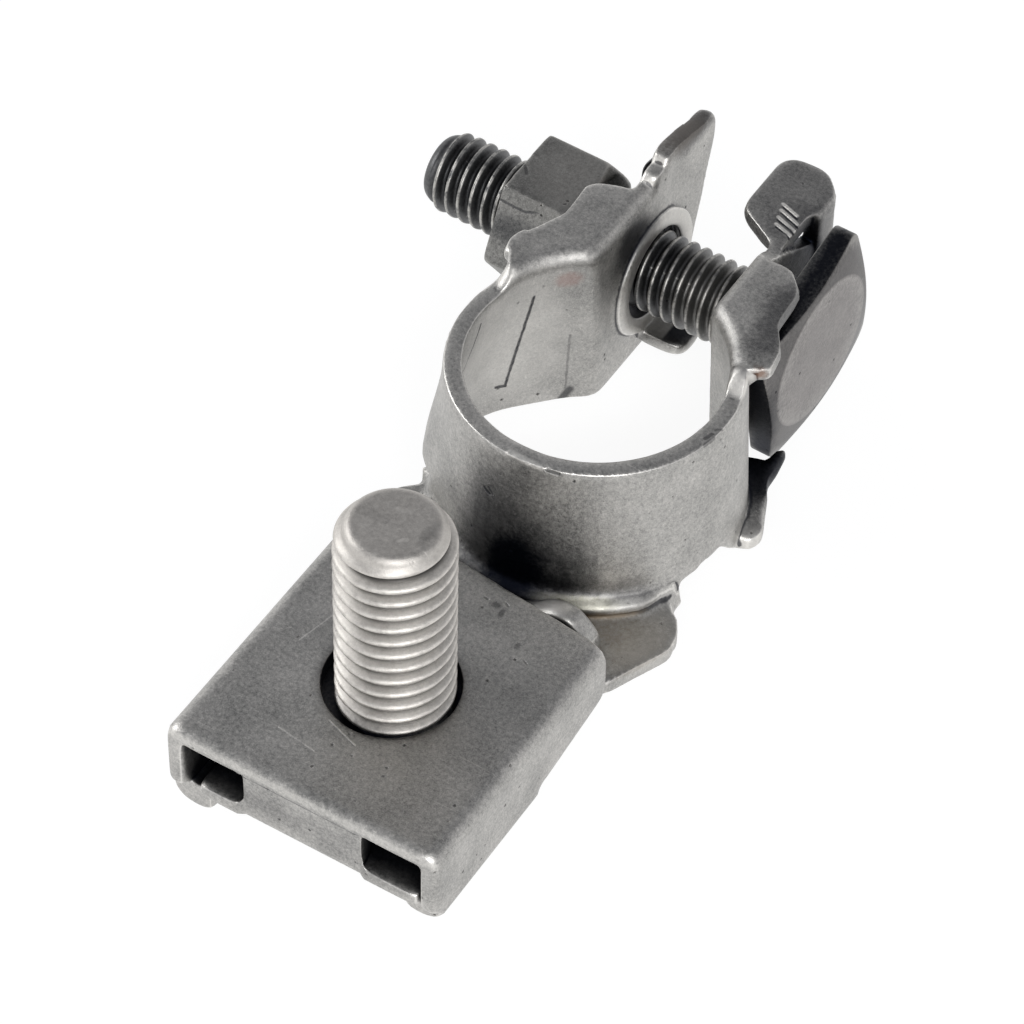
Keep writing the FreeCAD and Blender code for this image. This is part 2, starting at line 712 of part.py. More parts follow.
def make_bolt():
    """Clamp bolt with a large square head, modelled along its own axis."""
    body = DOCUMENT.addObject("PartDesign::Body", "clamp_bolt")
    body.Label = "clamp_bolt"
    shank = new_sketch(body, "ShankOutline", "YZ_Plane", "-bolt_free_end")
    draw_circle(shank, 0, 0, "bolt_radius")
    pad(body, "Shank", shank, "bolt_length")
    round_edges(body, "ShankLead", "bolt_lead", lambda e: (
        kind_of(e) == "Part::GeomCircle" and near(middle_of(e).x, -size("bolt_free_end"))), "Chamfer")
    head = new_sketch(body, "HeadOutline", "YZ_Plane", "bolt_head_face")
    draw_outline(head, [
        ("-head_near", "-head_far"), ("head_far", "-head_near"),
        ("head_near", "head_far"), ("-head_far", "head_near")])
    pad(body, "Head", head, "bolt_head_thick")
    round_edges(body, "HeadCorners", "bolt_head_corner", lambda e: (
        kind_of(e) == "Part::GeomLine" and near(abs(e.tangentAt(e.FirstParameter).x), 1, 1e-6)
        and middle_of(e).x > size("bolt_head_face")))
    bevel = new_sketch(body, "HeadBevelSection", "XZ_Plane")
    draw_outline(bevel, [
        ("bolt_head_out", "bolt_head_disc"), ("bolt_head_out", "bolt_head_reach"),
        ("bolt_head_cone", "bolt_head_reach")])
    turn(body, "HeadBevel", bevel, "Groove", "H_Axis")
    body.Placement = bolt_placement()
    return body


def make_nut():
    """Hexagon nut, running on the bolt."""
    body = DOCUMENT.addObject("PartDesign::Body", "clamp_nut")
    body.Label = "clamp_nut"
    hexagon = new_sketch(body, "HexagonOutline", "YZ_Plane", "-nut_face")
    draw_outline(hexagon, [
        ("nut_ay", "nut_az"), ("nut_by", "nut_bz"), ("nut_cy", "nut_cz"),
        ("-nut_ay", "-nut_az"), ("-nut_by", "-nut_bz"), ("-nut_cy", "-nut_cz")])
    pad(body, "Hexagon", hexagon, "nut_thick", back=True)
    bore = new_sketch(body, "BoreOutline", "YZ_Plane")
    draw_circle(bore, 0, 0, "nut_bore")
    cut(body, "Bore", bore)
    bevel = new_sketch(body, "BevelSection", "XZ_Plane")
    draw_outline(bevel, [
        ("-nut_face", "nut_bevel_start"), ("-nut_face", "nut_outer"),
        ("-nut_bevel_end", "nut_outer")])
    turn(body, "NearBevel", bevel, "Groove", "H_Axis")
    body.Placement = bolt_placement()
    return body


def check(document, bodies):
    """Stop where an object has failed or a shape isn't one valid solid."""
    for item in document.Objects:
        if "Invalid" in item.State or "Error" in item.State:
            raise RuntimeError(item.Name + " failed")
    for body in bodies:
        shape = body.Shape
        if shape.isNull() or not shape.isValid():
            raise RuntimeError(body.Label + " has no valid shape")
        box = shape.BoundBox
        print(body.Label, "solids", len(shape.Solids), "volume", round(shape.Volume, 2),
              "x", round(box.XMin, 2), round(box.XMax, 2), "y", round(box.YMin, 2), round(box.YMax, 2),
              "z", round(box.ZMin, 2), round(box.ZMax, 2))


def main():
    bodies = [make_terminal(), make_stud(), make_bolt(), make_nut()]
    DOCUMENT.recompute()
    check(DOCUMENT, bodies)
    os.makedirs("parts", exist_ok=True)
    for body in bodies:
        body.Shape.exportStep(f"parts/{body.Label}.step")


main()
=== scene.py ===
# %% [markdown]
# A battery terminal clamp, dressed for a picture. The solids come from the packed
# model, and this file gives them what solids leave out: rolled threads, arrises
# softened by the press, scratches, pits and the grey bloom of old tin plate.
# Lengths are written in millimetres and turned to metres where a mesh is made.

# %% Load the frame
import math

import bmesh
import bpy
import numpy as np
from mathutils import Matrix, Vector
from mathutils.bvhtree import BVHTree


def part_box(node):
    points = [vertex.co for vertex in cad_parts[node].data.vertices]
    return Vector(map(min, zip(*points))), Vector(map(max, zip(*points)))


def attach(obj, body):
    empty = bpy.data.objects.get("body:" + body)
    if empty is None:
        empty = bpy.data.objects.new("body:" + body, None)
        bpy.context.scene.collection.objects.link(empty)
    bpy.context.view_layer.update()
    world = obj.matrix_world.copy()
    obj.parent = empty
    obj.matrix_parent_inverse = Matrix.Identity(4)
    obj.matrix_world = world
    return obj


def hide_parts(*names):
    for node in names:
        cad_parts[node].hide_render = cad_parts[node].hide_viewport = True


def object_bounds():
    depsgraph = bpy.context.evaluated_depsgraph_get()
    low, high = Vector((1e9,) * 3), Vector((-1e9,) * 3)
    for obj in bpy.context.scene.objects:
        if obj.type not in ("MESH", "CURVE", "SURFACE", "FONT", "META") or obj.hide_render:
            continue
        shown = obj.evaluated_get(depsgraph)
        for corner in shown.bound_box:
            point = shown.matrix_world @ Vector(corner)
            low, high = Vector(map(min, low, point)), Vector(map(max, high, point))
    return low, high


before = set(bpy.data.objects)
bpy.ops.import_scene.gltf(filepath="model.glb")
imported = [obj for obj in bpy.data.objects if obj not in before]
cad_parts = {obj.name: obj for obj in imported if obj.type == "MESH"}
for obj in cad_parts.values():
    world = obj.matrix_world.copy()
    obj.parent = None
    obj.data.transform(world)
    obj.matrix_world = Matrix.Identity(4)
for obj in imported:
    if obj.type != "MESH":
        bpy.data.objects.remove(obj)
cad_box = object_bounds()
MM = 0.001
print("CAD box", [[round(v / MM, 2) for v in corner] for corner in cad_box])

# %% [markdown]
# The camera comes first, so that every later choice can be judged in the picture.
# A long lens from above the front right corner gives the flat, almost parallel
# view of a catalogue picture. The camera is turned a little about its own axis.

# %% Camera
AZIMUTH, ELEVATION, ROLL = 31.191, 48.195, 1.215
TARGET = Vector((-1.508, -10.372, 8.0)) * MM
DISTANCE = 278.925 * MM
PICTURE = 1024
FOCAL_PIXELS = 4242.73
# How far the view's centre lies from the picture's middle, in pixels.
SHIFT_RIGHT, SHIFT_UP = 20.01, -3.92
SENSOR_WIDTH = 36.0


def camera_axes(azimuth, elevation, roll):
    """Right, up and back of a camera that looks at the object from outside."""
    a, e, r = (math.radians(v) for v in (azimuth, elevation, roll))
    back = Vector((math.sin(a) * math.cos(e), -math.cos(a) * math.cos(e), math.sin(e)))
    level = Vector((math.cos(a), math.sin(a), 0))
    upright = back.cross(level)
    right = math.cos(r) * level + math.sin(r) * upright
    up = -math.sin(r) * level + math.cos(r) * upright
    return right, up, back


lens = bpy.data.cameras.new("camera")
lens.sensor_width = SENSOR_WIDTH
lens.lens = FOCAL_PIXELS / PICTURE * lens.sensor_width
lens.shift_x, lens.shift_y = SHIFT_RIGHT / PICTURE, SHIFT_UP / PICTURE
lens.clip_start, lens.clip_end = 0.01, 20.0
camera = bpy.data.objects.new("camera", lens)
right, up, back = camera_axes(AZIMUTH, ELEVATION, ROLL)
turn = Matrix((right, up, back)).transposed().to_4x4()
camera.matrix_world = Matrix.Translation(TARGET + DISTANCE * back) @ turn
bpy.context.scene.collection.objects.link(camera)
bpy.context.scene.camera = camera
bpy.context.scene.view_settings.view_transform = "Standard"
print("lens", round(lens.lens, 2), "mm")

# %% [markdown]
# Shader maths reads best as plain sums. A small class holds one output of a node
# tree and turns Python's operators into Math nodes. A second one makes any other
# node, with its settings first and then the values or links of its sockets.

# %% Node helpers
# Share of a stroke's or a spot's half width that is at full strength.
FULL_SHARE = 0.35


class Wire:
    """One output socket. Sums on it add Math nodes to its tree."""

    def __init__(self, graph, socket):
        self.graph, self.socket = graph, socket

    def maths(self, operation, *values):
        return self.graph.add("ShaderNodeMath", {"operation": operation},
                              dict(enumerate(values)))

    def __add__(self, other):
        return self.maths("ADD", self, other)

    def __sub__(self, other):
        return self.maths("SUBTRACT", self, other)

    def __rsub__(self, other):
        return self.maths("SUBTRACT", other, self)

    def __mul__(self, other):
        return self.maths("MULTIPLY", self, other)

    def __truediv__(self, other):
        return self.maths("DIVIDE", self, other)

    def __pow__(self, other):
        return self.maths("POWER", self, other)

    __radd__, __rmul__ = __add__, __mul__

    def least(self, other):
        return self.maths("MINIMUM", self, other)

    def most(self, other):
        return self.maths("MAXIMUM", self, other)

    def ramp(self, low, high, smooth=True):
        """0 below low, 1 above high; turned round where high is under low."""
        kind = "SMOOTHSTEP" if smooth else "LINEAR"
        return self.graph.add(
            "ShaderNodeMapRange", {"interpolation_type": kind},
            {"Value": self, "From Min": low, "From Max": high})


class Graph:
    """A node tree that is filled from Python."""

    def __init__(self, tree):
        self.tree = tree

    def add(self, kind, settings=None, inputs=None, output=0):
        node = self.tree.nodes.new(kind)
        for name, value in (settings or {}).items():
            setattr(node, name, value)
        for name, value in (inputs or {}).items():
            self.join(value, node.inputs[name])
        return Wire(self, node.outputs[output]) if len(node.outputs) else node

    def join(self, value, socket):
        if isinstance(value, Wire):
            self.tree.links.new(value.socket, socket)
        elif socket.type == "RGBA" and len(value) == 3:
            socket.default_value = (*value, 1)
        else:
            socket.default_value = value

    def blend(self, share, first, second):
        """Colour between two colours."""
        return self.add("ShaderNodeMix", {"data_type": "RGBA"},
                        {0: share, 6: first, 7: second}, 2)

    def vector(self, operation, first, second=None, output=0):
        """Vector Math node; the second input may be left out."""
        inputs = {0: first} if second is None else {0: first, 1: second}
        return self.add("ShaderNodeVectorMath", {"operation": operation}, inputs, output)

    def stroke(self, place, start, end, width):
        """1 on the line from start to end, fading to 0 at the given width."""
        a, b = Vector(start), Vector(end)
        run = b - a
        away = self.vector("SUBTRACT", place, tuple(a))
        share = self.vector("DOT_PRODUCT", away, tuple(run / run.length_squared), 1)
        share = share.most(0).least(1)
        on_line = self.add("ShaderNodeVectorMath", {"operation": "SCALE"},
                           {0: tuple(run), "Scale": share})
        gap = self.vector("LENGTH", self.vector("SUBTRACT", away, on_line), None, 1)
        return gap.ramp(width, width * FULL_SHARE)

    def strokes(self, place, lines):
        """Strongest of several strokes, each (start, end, width, strength)."""
        total = 0.0
        for start, end, width, strength in lines:
            total = (self.stroke(place, start, end, width) * strength).most(total)
        return total

    def noise(self, place, scale, detail=3.0, rough=0.6, output=0):
        return self.add("ShaderNodeTexNoise", None, {
            "Vector": place, "Scale": scale, "Detail": detail, "Roughness": rough}, output)


def new_material(name):
    """Empty material and a graph to fill it."""
    material = bpy.data.materials.new(name)
    material.use_nodes = True
    material.node_tree.nodes.clear()
    return material, Graph(material.node_tree)


print("node helpers ready")

# %% [markdown]
# The floor is pale and the world is a bright horizon under a darker ceiling. Tin
# plate is a dull mirror, so what it reflects sets its greys: upright faces take
# the white floor, and level ones take the darker ceiling.

# %% Floor, world and lamps
FLOOR_LEVEL = cad_box[0].z
FLOOR_GREY, SEEN_GREY, SEEN_GLOW = 0.8, 0.16, 0.9
HORIZON, OVERHEAD = (0.95, 0.95, 0.96), (0.22, 0.225, 0.24)
# Sines of the heights between which the world goes from horizon to ceiling.
CEILING_FROM, CEILING_TO = 0.05, 0.85


def pale_floor():
    """White to the camera and in reflections, with a faint shadow left on it."""
    material, g = new_material("pale floor")
    plain = g.add("ShaderNodeBsdfDiffuse", None, {"Color": (FLOOR_GREY,) * 3})
    shaded = g.add("ShaderNodeBsdfDiffuse", None, {"Color": (SEEN_GREY,) * 3})
    glow = g.add("ShaderNodeEmission", None, {"Color": (1, 1, 1), "Strength": SEEN_GLOW})
    white = g.add("ShaderNodeAddShader", None, {0: shaded, 1: glow})
    path = g.add("ShaderNodeLightPath")
    rays = path.socket.node.outputs
    seen = Wire(g, rays["Is Camera Ray"]).most(Wire(g, rays["Is Glossy Ray"]))
    seen = seen.most(Wire(g, rays["Is Transmission Ray"]))
    surface = g.add("ShaderNodeMixShader", None, {0: seen, 1: plain, 2: white})
    g.add("ShaderNodeOutputMaterial", None, {"Surface": surface})
    return material


def make_floor(size=3.0):
    mesh = bpy.data.meshes.new("floor")
    square = ((-1, -1), (1, -1), (1, 1), (-1, 1))
    corners = [(x * size, y * size, FLOOR_LEVEL) for x, y in square]
    mesh.from_pydata(corners, [], [(0, 1, 2, 3)])
    mesh.materials.append(pale_floor())
    floor = bpy.data.objects.new("floor", mesh)
    bpy.context.scene.collection.objects.link(floor)
    return floor


def make_world():
    """Bright round the horizon and darker overhead."""
    world = bpy.data.worlds.new("studio")
    world.use_nodes = True
    world.node_tree.nodes.clear()
    g = Graph(world.node_tree)
    place = g.add("ShaderNodeTexCoord", None, None, "Generated")
    rise = g.add("ShaderNodeSeparateXYZ", None, {0: place}, 2)
    high = rise.ramp(CEILING_FROM, CEILING_TO)
    sky = g.blend(high, HORIZON, OVERHEAD)
    lit = g.add("ShaderNodeBackground", None, {"Color": sky, "Strength": 1.0})
    white = g.add("ShaderNodeBackground", None, {"Color": (1, 1, 1), "Strength": 1.0})
    camera_ray = Wire(g, g.add("ShaderNodeLightPath").socket.node.outputs["Is Camera Ray"])
    surface = g.add("ShaderNodeMixShader", None, {0: camera_ray, 1: lit, 2: white})
    g.add("ShaderNodeOutputWorld", None, {"Surface": surface})
    bpy.context.scene.world = world


def soft_lamp(name, place, size, power):
    """Square lamp that points at the object."""
    lamp = bpy.data.lights.new(name, "AREA")
    lamp.size, lamp.energy = size, power
    holder = bpy.data.objects.new(name, lamp)
    holder.location = place
    aim = (TARGET - Vector(place)).to_track_quat("-Z", "Y")
    holder.rotation_mode = "QUATERNION"
    holder.rotation_quaternion = aim
    bpy.context.scene.collection.objects.link(holder)
    return holder


make_floor()
make_world()
soft_lamp("key lamp", place=(0.25, -0.35, 0.35), size=0.30, power=1.6)
soft_lamp("side lamp", place=(-0.45, -0.10, 0.25), size=0.25, power=0.8)
print("floor at", round(FLOOR_LEVEL / MM, 2), "mm")

# %% [markdown]
# Every metal face here was pressed, rolled or forged, so no arris is sharp. Wear
# shows where a surface is proud, and painted shade darkens it where it is hollow.
# Both are read from the mesh: how far a point stands out of the mean of its
# neighbours is stored as an attribute, which the materials use later.

# %% Mesh helpers
WELD = 0.002 * MM


def arrays(mesh):
    """Points and edges of a mesh as arrays."""
    points = np.zeros(len(mesh.vertices) * 3)
    mesh.vertices.foreach_get("co", points)
    pairs = np.zeros(len(mesh.edges) * 2, int)
    mesh.edges.foreach_get("vertices", pairs)
    return points.reshape(-1, 3), pairs.reshape(-1, 2)


def normals_of(mesh):
    out = np.zeros(len(mesh.vertices) * 3)
    mesh.vertices.foreach_get("normal", out)
    return out.reshape(-1, 3)


def neighbour_mean(values, pairs):
    """Mean of each point's neighbours."""
    total = np.zeros_like(values)
    count = np.zeros(len(values))
    for a, b in ((0, 1), (1, 0)):
        np.add.at(total, pairs[:, a], values[pairs[:, b]])
        np.add.at(count, pairs[:, a], 1)
    count = np.maximum(count, 1)
    return total / (count if values.ndim == 1 else count[:, None])


def put_points(mesh, points):
    mesh.vertices.foreach_set("co", points.ravel())
    mesh.update()


def store(mesh, name, values):
    """Write one number for each point as an attribute."""
    layer = mesh.attributes.new(name, "FLOAT", "POINT")
    layer.data.foreach_set("value", np.asarray(values, np.float32))


def store_wear(mesh, rounds=2, reach=0.25):
    """Attribute proud: above 0 on arrises and below 0 in creases."""
    points, pairs = arrays(mesh)
    height = np.sum((points - neighbour_mean(points, pairs)) * normals_of(mesh), axis=1)
    span = np.linalg.norm(points[pairs[:, 0]] - points[pairs[:, 1]], axis=1).mean()
    proud = height / span / reach
    for _ in range(rounds):
        proud = 0.5 * proud + 0.5 * neighbour_mean(proud, pairs)
    store(mesh, "proud", np.clip(proud, -1, 1))


def merged_copy(node, name):
    """Copy of a CAD node with its loose triangles joined."""
    piece = bpy.data.objects.new(name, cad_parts[node].data.copy())
    piece.data.name = name
    piece.data.materials.clear()
    bpy.context.scene.collection.objects.link(piece)
    work = bmesh.new()
    work.from_mesh(piece.data)
    bmesh.ops.remove_doubles(work, verts=work.verts, dist=WELD)
    work.to_mesh(piece.data)
    work.free()
    return piece


def baked(piece):
    """Turn a piece and its modifiers into a plain mesh."""
    depsgraph = bpy.context.evaluated_depsgraph_get()
    mesh = bpy.data.meshes.new_from_object(piece.evaluated_get(depsgraph), depsgraph=depsgraph)
    piece.modifiers.clear()
    piece.data = mesh
    mesh.name = piece.name
    return piece


def shade_smooth(mesh):
    mesh.polygons.foreach_set("use_smooth", [True] * len(mesh.polygons))
    mesh.update()


print("mesh helpers ready")

# %% [markdown]
# A press leaves its arrises straight and a little round. A copy of a solid is
# remeshed into small even squares, and its sharp lines are drawn straight and
# then softened. How much of the outlook other metal blocks is measured with rays
# and stored, for painted shade in corners.

# %% Press finish
WEAR_GAIN, WEAR_SPREAD, WEAR_ROUNDS = 3.0, 2.0, 2
BEND_GAIN, LINE_GAIN = 12, 4
# Rays start this far off the metal and go this far. What they find is smoothed this often.
RAY_START, RAY_REACH, RAY_COUNT, RAY_ROUNDS = 0.05 * MM, 7.0 * MM, 14, 3


def smoothstep(low, high, values):
    share = np.clip((values - low) / (high - low), 0, 1)
    return share * share * (3 - 2 * share)


def mark_wear(mesh, rounds=WEAR_ROUNDS):
    """Attribute proud from the sharp mesh, spread a little over the flats beside an arris."""
    points, pairs = arrays(mesh)
    height = np.sum((points - neighbour_mean(points, pairs)) * normals_of(mesh), axis=1)
    span = np.linalg.norm(points[pairs[:, 0]] - points[pairs[:, 1]], axis=1).mean()
    proud = np.clip(height / span * WEAR_GAIN, -1, 1)
    for _ in range(rounds):
        proud = 0.5 * proud + 0.5 * neighbour_mean(proud, pairs)
    store(mesh, "proud", np.clip(proud * WEAR_SPREAD, -1, 1))


def mark_hidden(mesh, blockers):
    """Attribute hidden: share of the outlook from each point that other metal blocks."""
    points, pairs = arrays(mesh)
    facing = normals_of(mesh)
    golden = math.pi * (3 - math.sqrt(5))
    fan = []
    for k in range(RAY_COUNT):
        height = 1 - (k + 0.5) / RAY_COUNT * 0.9
        flat = math.sqrt(1 - height * height)
        fan.append((flat * math.cos(golden * k), flat * math.sin(golden * k), height))
    hidden = np.zeros(len(points))
    for i, (point, normal) in enumerate(zip(points, facing)):
        up = Vector(normal)
        side = up.orthogonal().normalized()
        other = up.cross(side)
        spot = Vector(point) + up * RAY_START
        for x, y, z in fan:
            if blockers.ray_cast(spot, side * x + other * y + up * z, RAY_REACH)[0] is not None:
                hidden[i] += z
    hidden /= sum(f[2] for f in fan)
    for _ in range(RAY_ROUNDS):
        hidden = 0.5 * hidden + 0.5 * neighbour_mean(hidden, pairs)
    store(mesh, "hidden", hidden)


def relaxed(points, pairs, sharp, normals, rounds):
    """Draw sharp lines straight along themselves, and let the flats between them follow."""
    weight = np.clip(sharp * LINE_GAIN, 0, 1)
    on_line = weight > 0.5
    for _ in range(rounds):
        near = neighbour_mean(weight, pairs)
        line_mean = neighbour_mean(points * weight[:, None], pairs) / np.maximum(near, 1e-6)[:, None]
        flat_step = neighbour_mean(points, pairs) - points
        flat_step -= np.sum(flat_step * normals, axis=1)[:, None] * normals
        step = np.where(on_line[:, None], line_mean - points, flat_step)
        step[on_line & (near < 0.2)] = 0
        points = points + 0.5 * step
    return points


def press_finish(piece, depth, scale, straighten, soften, reshape=None):
    """Even mesh that keeps its arrises, each straightened and softened a little."""
    remesh = piece.modifiers.new("even squares", "REMESH")
    remesh.mode, remesh.octree_depth, remesh.scale = "SHARP", depth, scale
    remesh.use_remove_disconnected = False
    baked(piece)
    mark_wear(piece.data)
    points, pairs = arrays(piece.data)
    facing = normals_of(piece.data)
    bend = 1 - np.linalg.norm(neighbour_mean(facing, pairs), axis=1)
    soft = np.clip(bend * BEND_GAIN, 0, 1)
    points = relaxed(points, pairs, soft, facing, straighten)
    soft = np.maximum(soft, 0.6 * neighbour_mean(soft, pairs))
    for _ in range(soften):
        points += 0.5 * soft[:, None] * (neighbour_mean(points, pairs) - points)
        soft = np.maximum(soft, 0.5 * neighbour_mean(soft, pairs))
    if reshape:
        points = reshape(points, pairs)
    put_points(piece.data, points)
    shade_smooth(piece.data)
    return piece


print("press finish ready")

# %% [markdown]
# The sheet is one strip, drawn into a ring, folded and crimped. A few small forms
# that its solid leaves out are pushed in: rounded corners, the bead's ends, the
# ear's stairs and the torn wedge in front of the ring.

# %% Sheet body
# How far each small form moves the metal, in millimetres.
WALL_LEAN = 1.0
LOBE_IN, LOBE_BACK = 0.35, 1.6
EAR_TIP_IN, EAR_TIP_DROP = 0.6, 0.4
WING_RISE = 1.1
LIP_OUT = 0.45
FOLD_BACK = 0.28
WEDGE_DROP = 0.6
LOW_STAIR_RISE, HIGH_STAIR_RISE = 0.25, 0.3
BEAK_OUT = 0.45
HORN_SHIFT = (0.35, 0.6, 0.8)
# Rounds of smoothing on the torn wedge and at the bead's end.
WORN_ROUNDS = 20
# The ring's outer wall: radius at the foot, how much less at the rim, and height.
WALL_FOOT, WALL_TAPER, WALL_HEIGHT = 10.86, 0.74, 13.6
# Angles from the front between which the bead dies away, in degrees.
BEAD_FADE_FROM, BEAD_FADE_TO, BEAD_STOP = 46, 62, 75
# Width of the strip behind the foot's edge that is drawn in with it.
CORNER_STRIP = 1.5
# Plan of the foot's front corner, as distances in front of the ring's axis: sharp and rounded.
CORNER_AHEAD = (4.6, 6.0, 8.8, 10.4, 14.2)
CORNER_SHARP = (10.4, 10.4, 12.3, 11.7, 9.9)
ROUNDED_AHEAD = (4.6, 6.0, 6.7, 7.6, 8.2, 8.7, 9.2, 9.7, 10.2, 10.8, 12.0, 14.2)
ROUNDED = (10.4, 10.4, 10.85, 11.4, 11.7, 11.85, 11.88, 11.8, 11.6, 11.33, 10.8, 9.9)


def round_corner(x, y, z):
    """New x for points near the foot's two front corners, drawn in to the rounded plan."""
    sharp = np.interp(-y, CORNER_AHEAD, CORNER_SHARP)
    rounded = np.interp(-y, ROUNDED_AHEAD, ROUNDED)
    inner = rounded - CORNER_STRIP
    drawn = inner + (np.abs(x) - inner) * (rounded - inner) / (sharp - inner)
    near = (np.abs(x) > inner) & (z < 1.7) & (y < -4.6) & (y > -14.2)
    return np.where(near, np.sign(x) * drawn, x)


def fade_bead(x, y, z):
    """Scale for the distance from the ring's axis, so that the bead dies away at its ends."""
    reach = np.hypot(x, y)
    wall = WALL_FOOT - WALL_TAPER * z / WALL_HEIGHT
    turned = np.degrees(np.arctan2(np.abs(x), -y))
    share = smoothstep(BEAD_FADE_FROM, BEAD_FADE_TO, turned) * (turned < BEAD_STOP)
    share = share * (reach > wall) * (z < 4)
    share *= (0.35 + 0.55 * smoothstep(1.1, 1.5, z)) * smoothstep(13.2, 12.0, reach)
    return 1 + share * (wall - reach) / reach


def near_place(points, centre, radii):
    """1 inside a soft ellipsoid and 0 outside it. Sizes in millimetres."""
    away = (points / MM - centre) / radii
    return smoothstep(1.1, 0.7, np.linalg.norm(away, axis=1))


def reshape_sheet(points, pairs):
    """Small forms of the pressed sheet that its solid leaves out. Places in millimetres."""
    x, y, z = points.T / MM
    reach = np.hypot(x, y)
    # The left wall leans out below the ear.
    lean = smoothstep(12.5, 3.0, z) * smoothstep(4.0, 8.5, -x) * smoothstep(6.5, 2.0, y)
    lean *= smoothstep(-9.0, -5.5, y) * smoothstep(11.9, 11.0, reach)
    points[:, 0] -= WALL_LEAN * lean * MM
    # The left flange ends in a lobe that lies further back.
    lobe = smoothstep(8.8, 10.4, -x) * smoothstep(8.0, 5.0, y)
    lobe *= smoothstep(1.5, 2.5, y) * (z > 13.2)
    points[:, 0] += LOBE_IN * lobe * MM
    points[:, 1] += LOBE_BACK * lobe * MM
    # The left ear's tip bends in and droops.
    tip = smoothstep(17, 24, y) * (x < -3.9)
    points[:, 0] += EAR_TIP_IN * tip * MM
    points[:, 2] -= EAR_TIP_DROP * tip * smoothstep(9, 13, z) * MM
    # The wing behind the nut stands higher at its outer end.
    wing = (y > 19.8) * smoothstep(6.7, 7.4, -x)
    points[:, 2] += WING_RISE * wing * smoothstep(6.0, 9.2, z) * MM
    # The right flange reaches a little further out.
    lip = smoothstep(7.5, 8.4, x) * (y > 4.0) * smoothstep(13.2, 13.6, z)
    points[:, 0] += LIP_OUT * lip * MM
    # The folded face at the box's front stands back from the cover's edge.
    fold = (y < -34.4) * smoothstep(4.75, 4.45, np.abs(x)) * smoothstep(4.55, 4.3, z)
    points[:, 1] += FOLD_BACK * fold * MM
    # The wedge sinks towards its left end, clear of the cover.
    wedge = (y > -13.95) & (y < -11.7) & (x > 1.5) & (x < 8.6) & (z > 1.4)
    points[:, 2] -= WEDGE_DROP * (z - 1.3) * wedge * smoothstep(5.4, 1.8, x) * MM
    # The left ear's two stairs are raised, less so towards the tip.
    top = (x > -6.3) & (x < -4.0) & (z > 14.7) & (y > 14.5)
    low_stair = LOW_STAIR_RISE * smoothstep(15.3, 15.7, y)
    high_stair = HIGH_STAIR_RISE * smoothstep(16.8, 17.2, y)
    points[:, 2] += top * (low_stair + high_stair) * smoothstep(24.0, 18.0, y) * MM
    points[:, :2] *= fade_bead(*points.T / MM)[:, None]
    points[:, 0] = round_corner(*points.T / MM) * MM
    # The beak is wider in its middle, and its horn is bent up and out.
    beak = (x > 8.9) & (z < 2.2) & (y > 1.4)
    middle = smoothstep(1.6, 3.4, y) * smoothstep(7.6, 5.8, y) * smoothstep(11.0, 11.7, reach)
    points[:, 0] += BEAK_OUT * beak * middle * MM
    horn = beak * smoothstep(7.6, 9.4, y)
    points += horn[:, None] * np.array(HORN_SHIFT) * MM
    # The wedge's torn top and the bead's end are worn round.
    worn = near_place(points, (4.9, -13.0, 4.2), (4.6, 2.2, 2.8)) * (points[:, 1] > -14.0 * MM)
    worn = np.maximum(worn, near_place(points, (10.3, -5.2, 1.7), (1.8, 1.8, 1.5)))
    for _ in range(WORN_ROUNDS):
        points += 0.5 * worn[:, None] * (neighbour_mean(points, pairs) - points)
    return points


def tree_with(mesh, *nodes):
    """Search tree over a dressed mesh and the faces of some solids."""
    points, faces = [], []
    for part in (mesh, *(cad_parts[node].data for node in nodes)):
        start = len(points)
        points += [v.co.copy() for v in part.vertices]
        faces += [tuple(start + k for k in p.vertices) for p in part.polygons]
    return BVHTree.FromPolygons(points, faces)


sheet = press_finish(merged_copy("terminal_body", "folded_sheet"), depth=8, scale=0.94,
                     straighten=12, soften=2, reshape=reshape_sheet)
mark_hidden(sheet.data, tree_with(sheet.data, "stud", "clamp_bolt", "clamp_nut"))
sheet_tree = tree_with(sheet.data)
print("sheet faces", len(sheet.data.polygons))

# %% [markdown]
# Threads are rolled, not cut: the plain blank's diameter lies half way between
# root and crest. A screw thread follows a rule, so a Geometry Nodes tree makes
# it. A flat grid is wrapped round the axis, and each point's radius comes from
# how far along the helix it lies. The ends are drawn in to the axis.

# %% Thread tree
THREAD_SIZES = ("start", "end", "blank", "depth", "pitch", "lead", "lead_radius", "plain", "runout")
# Shares of the half pitch at which the flank leaves the root and meets the crest.
ROOT_END, STRAIGHT_ROOT_END, CREST_START = 0.14, 0.22, 0.86
FOOT_RUNOUT = 0.7 * MM
THREAD_WELD = 0.004 * MM
# What the attribute crest says where there is no thread.
PLAIN_CREST = 0.62


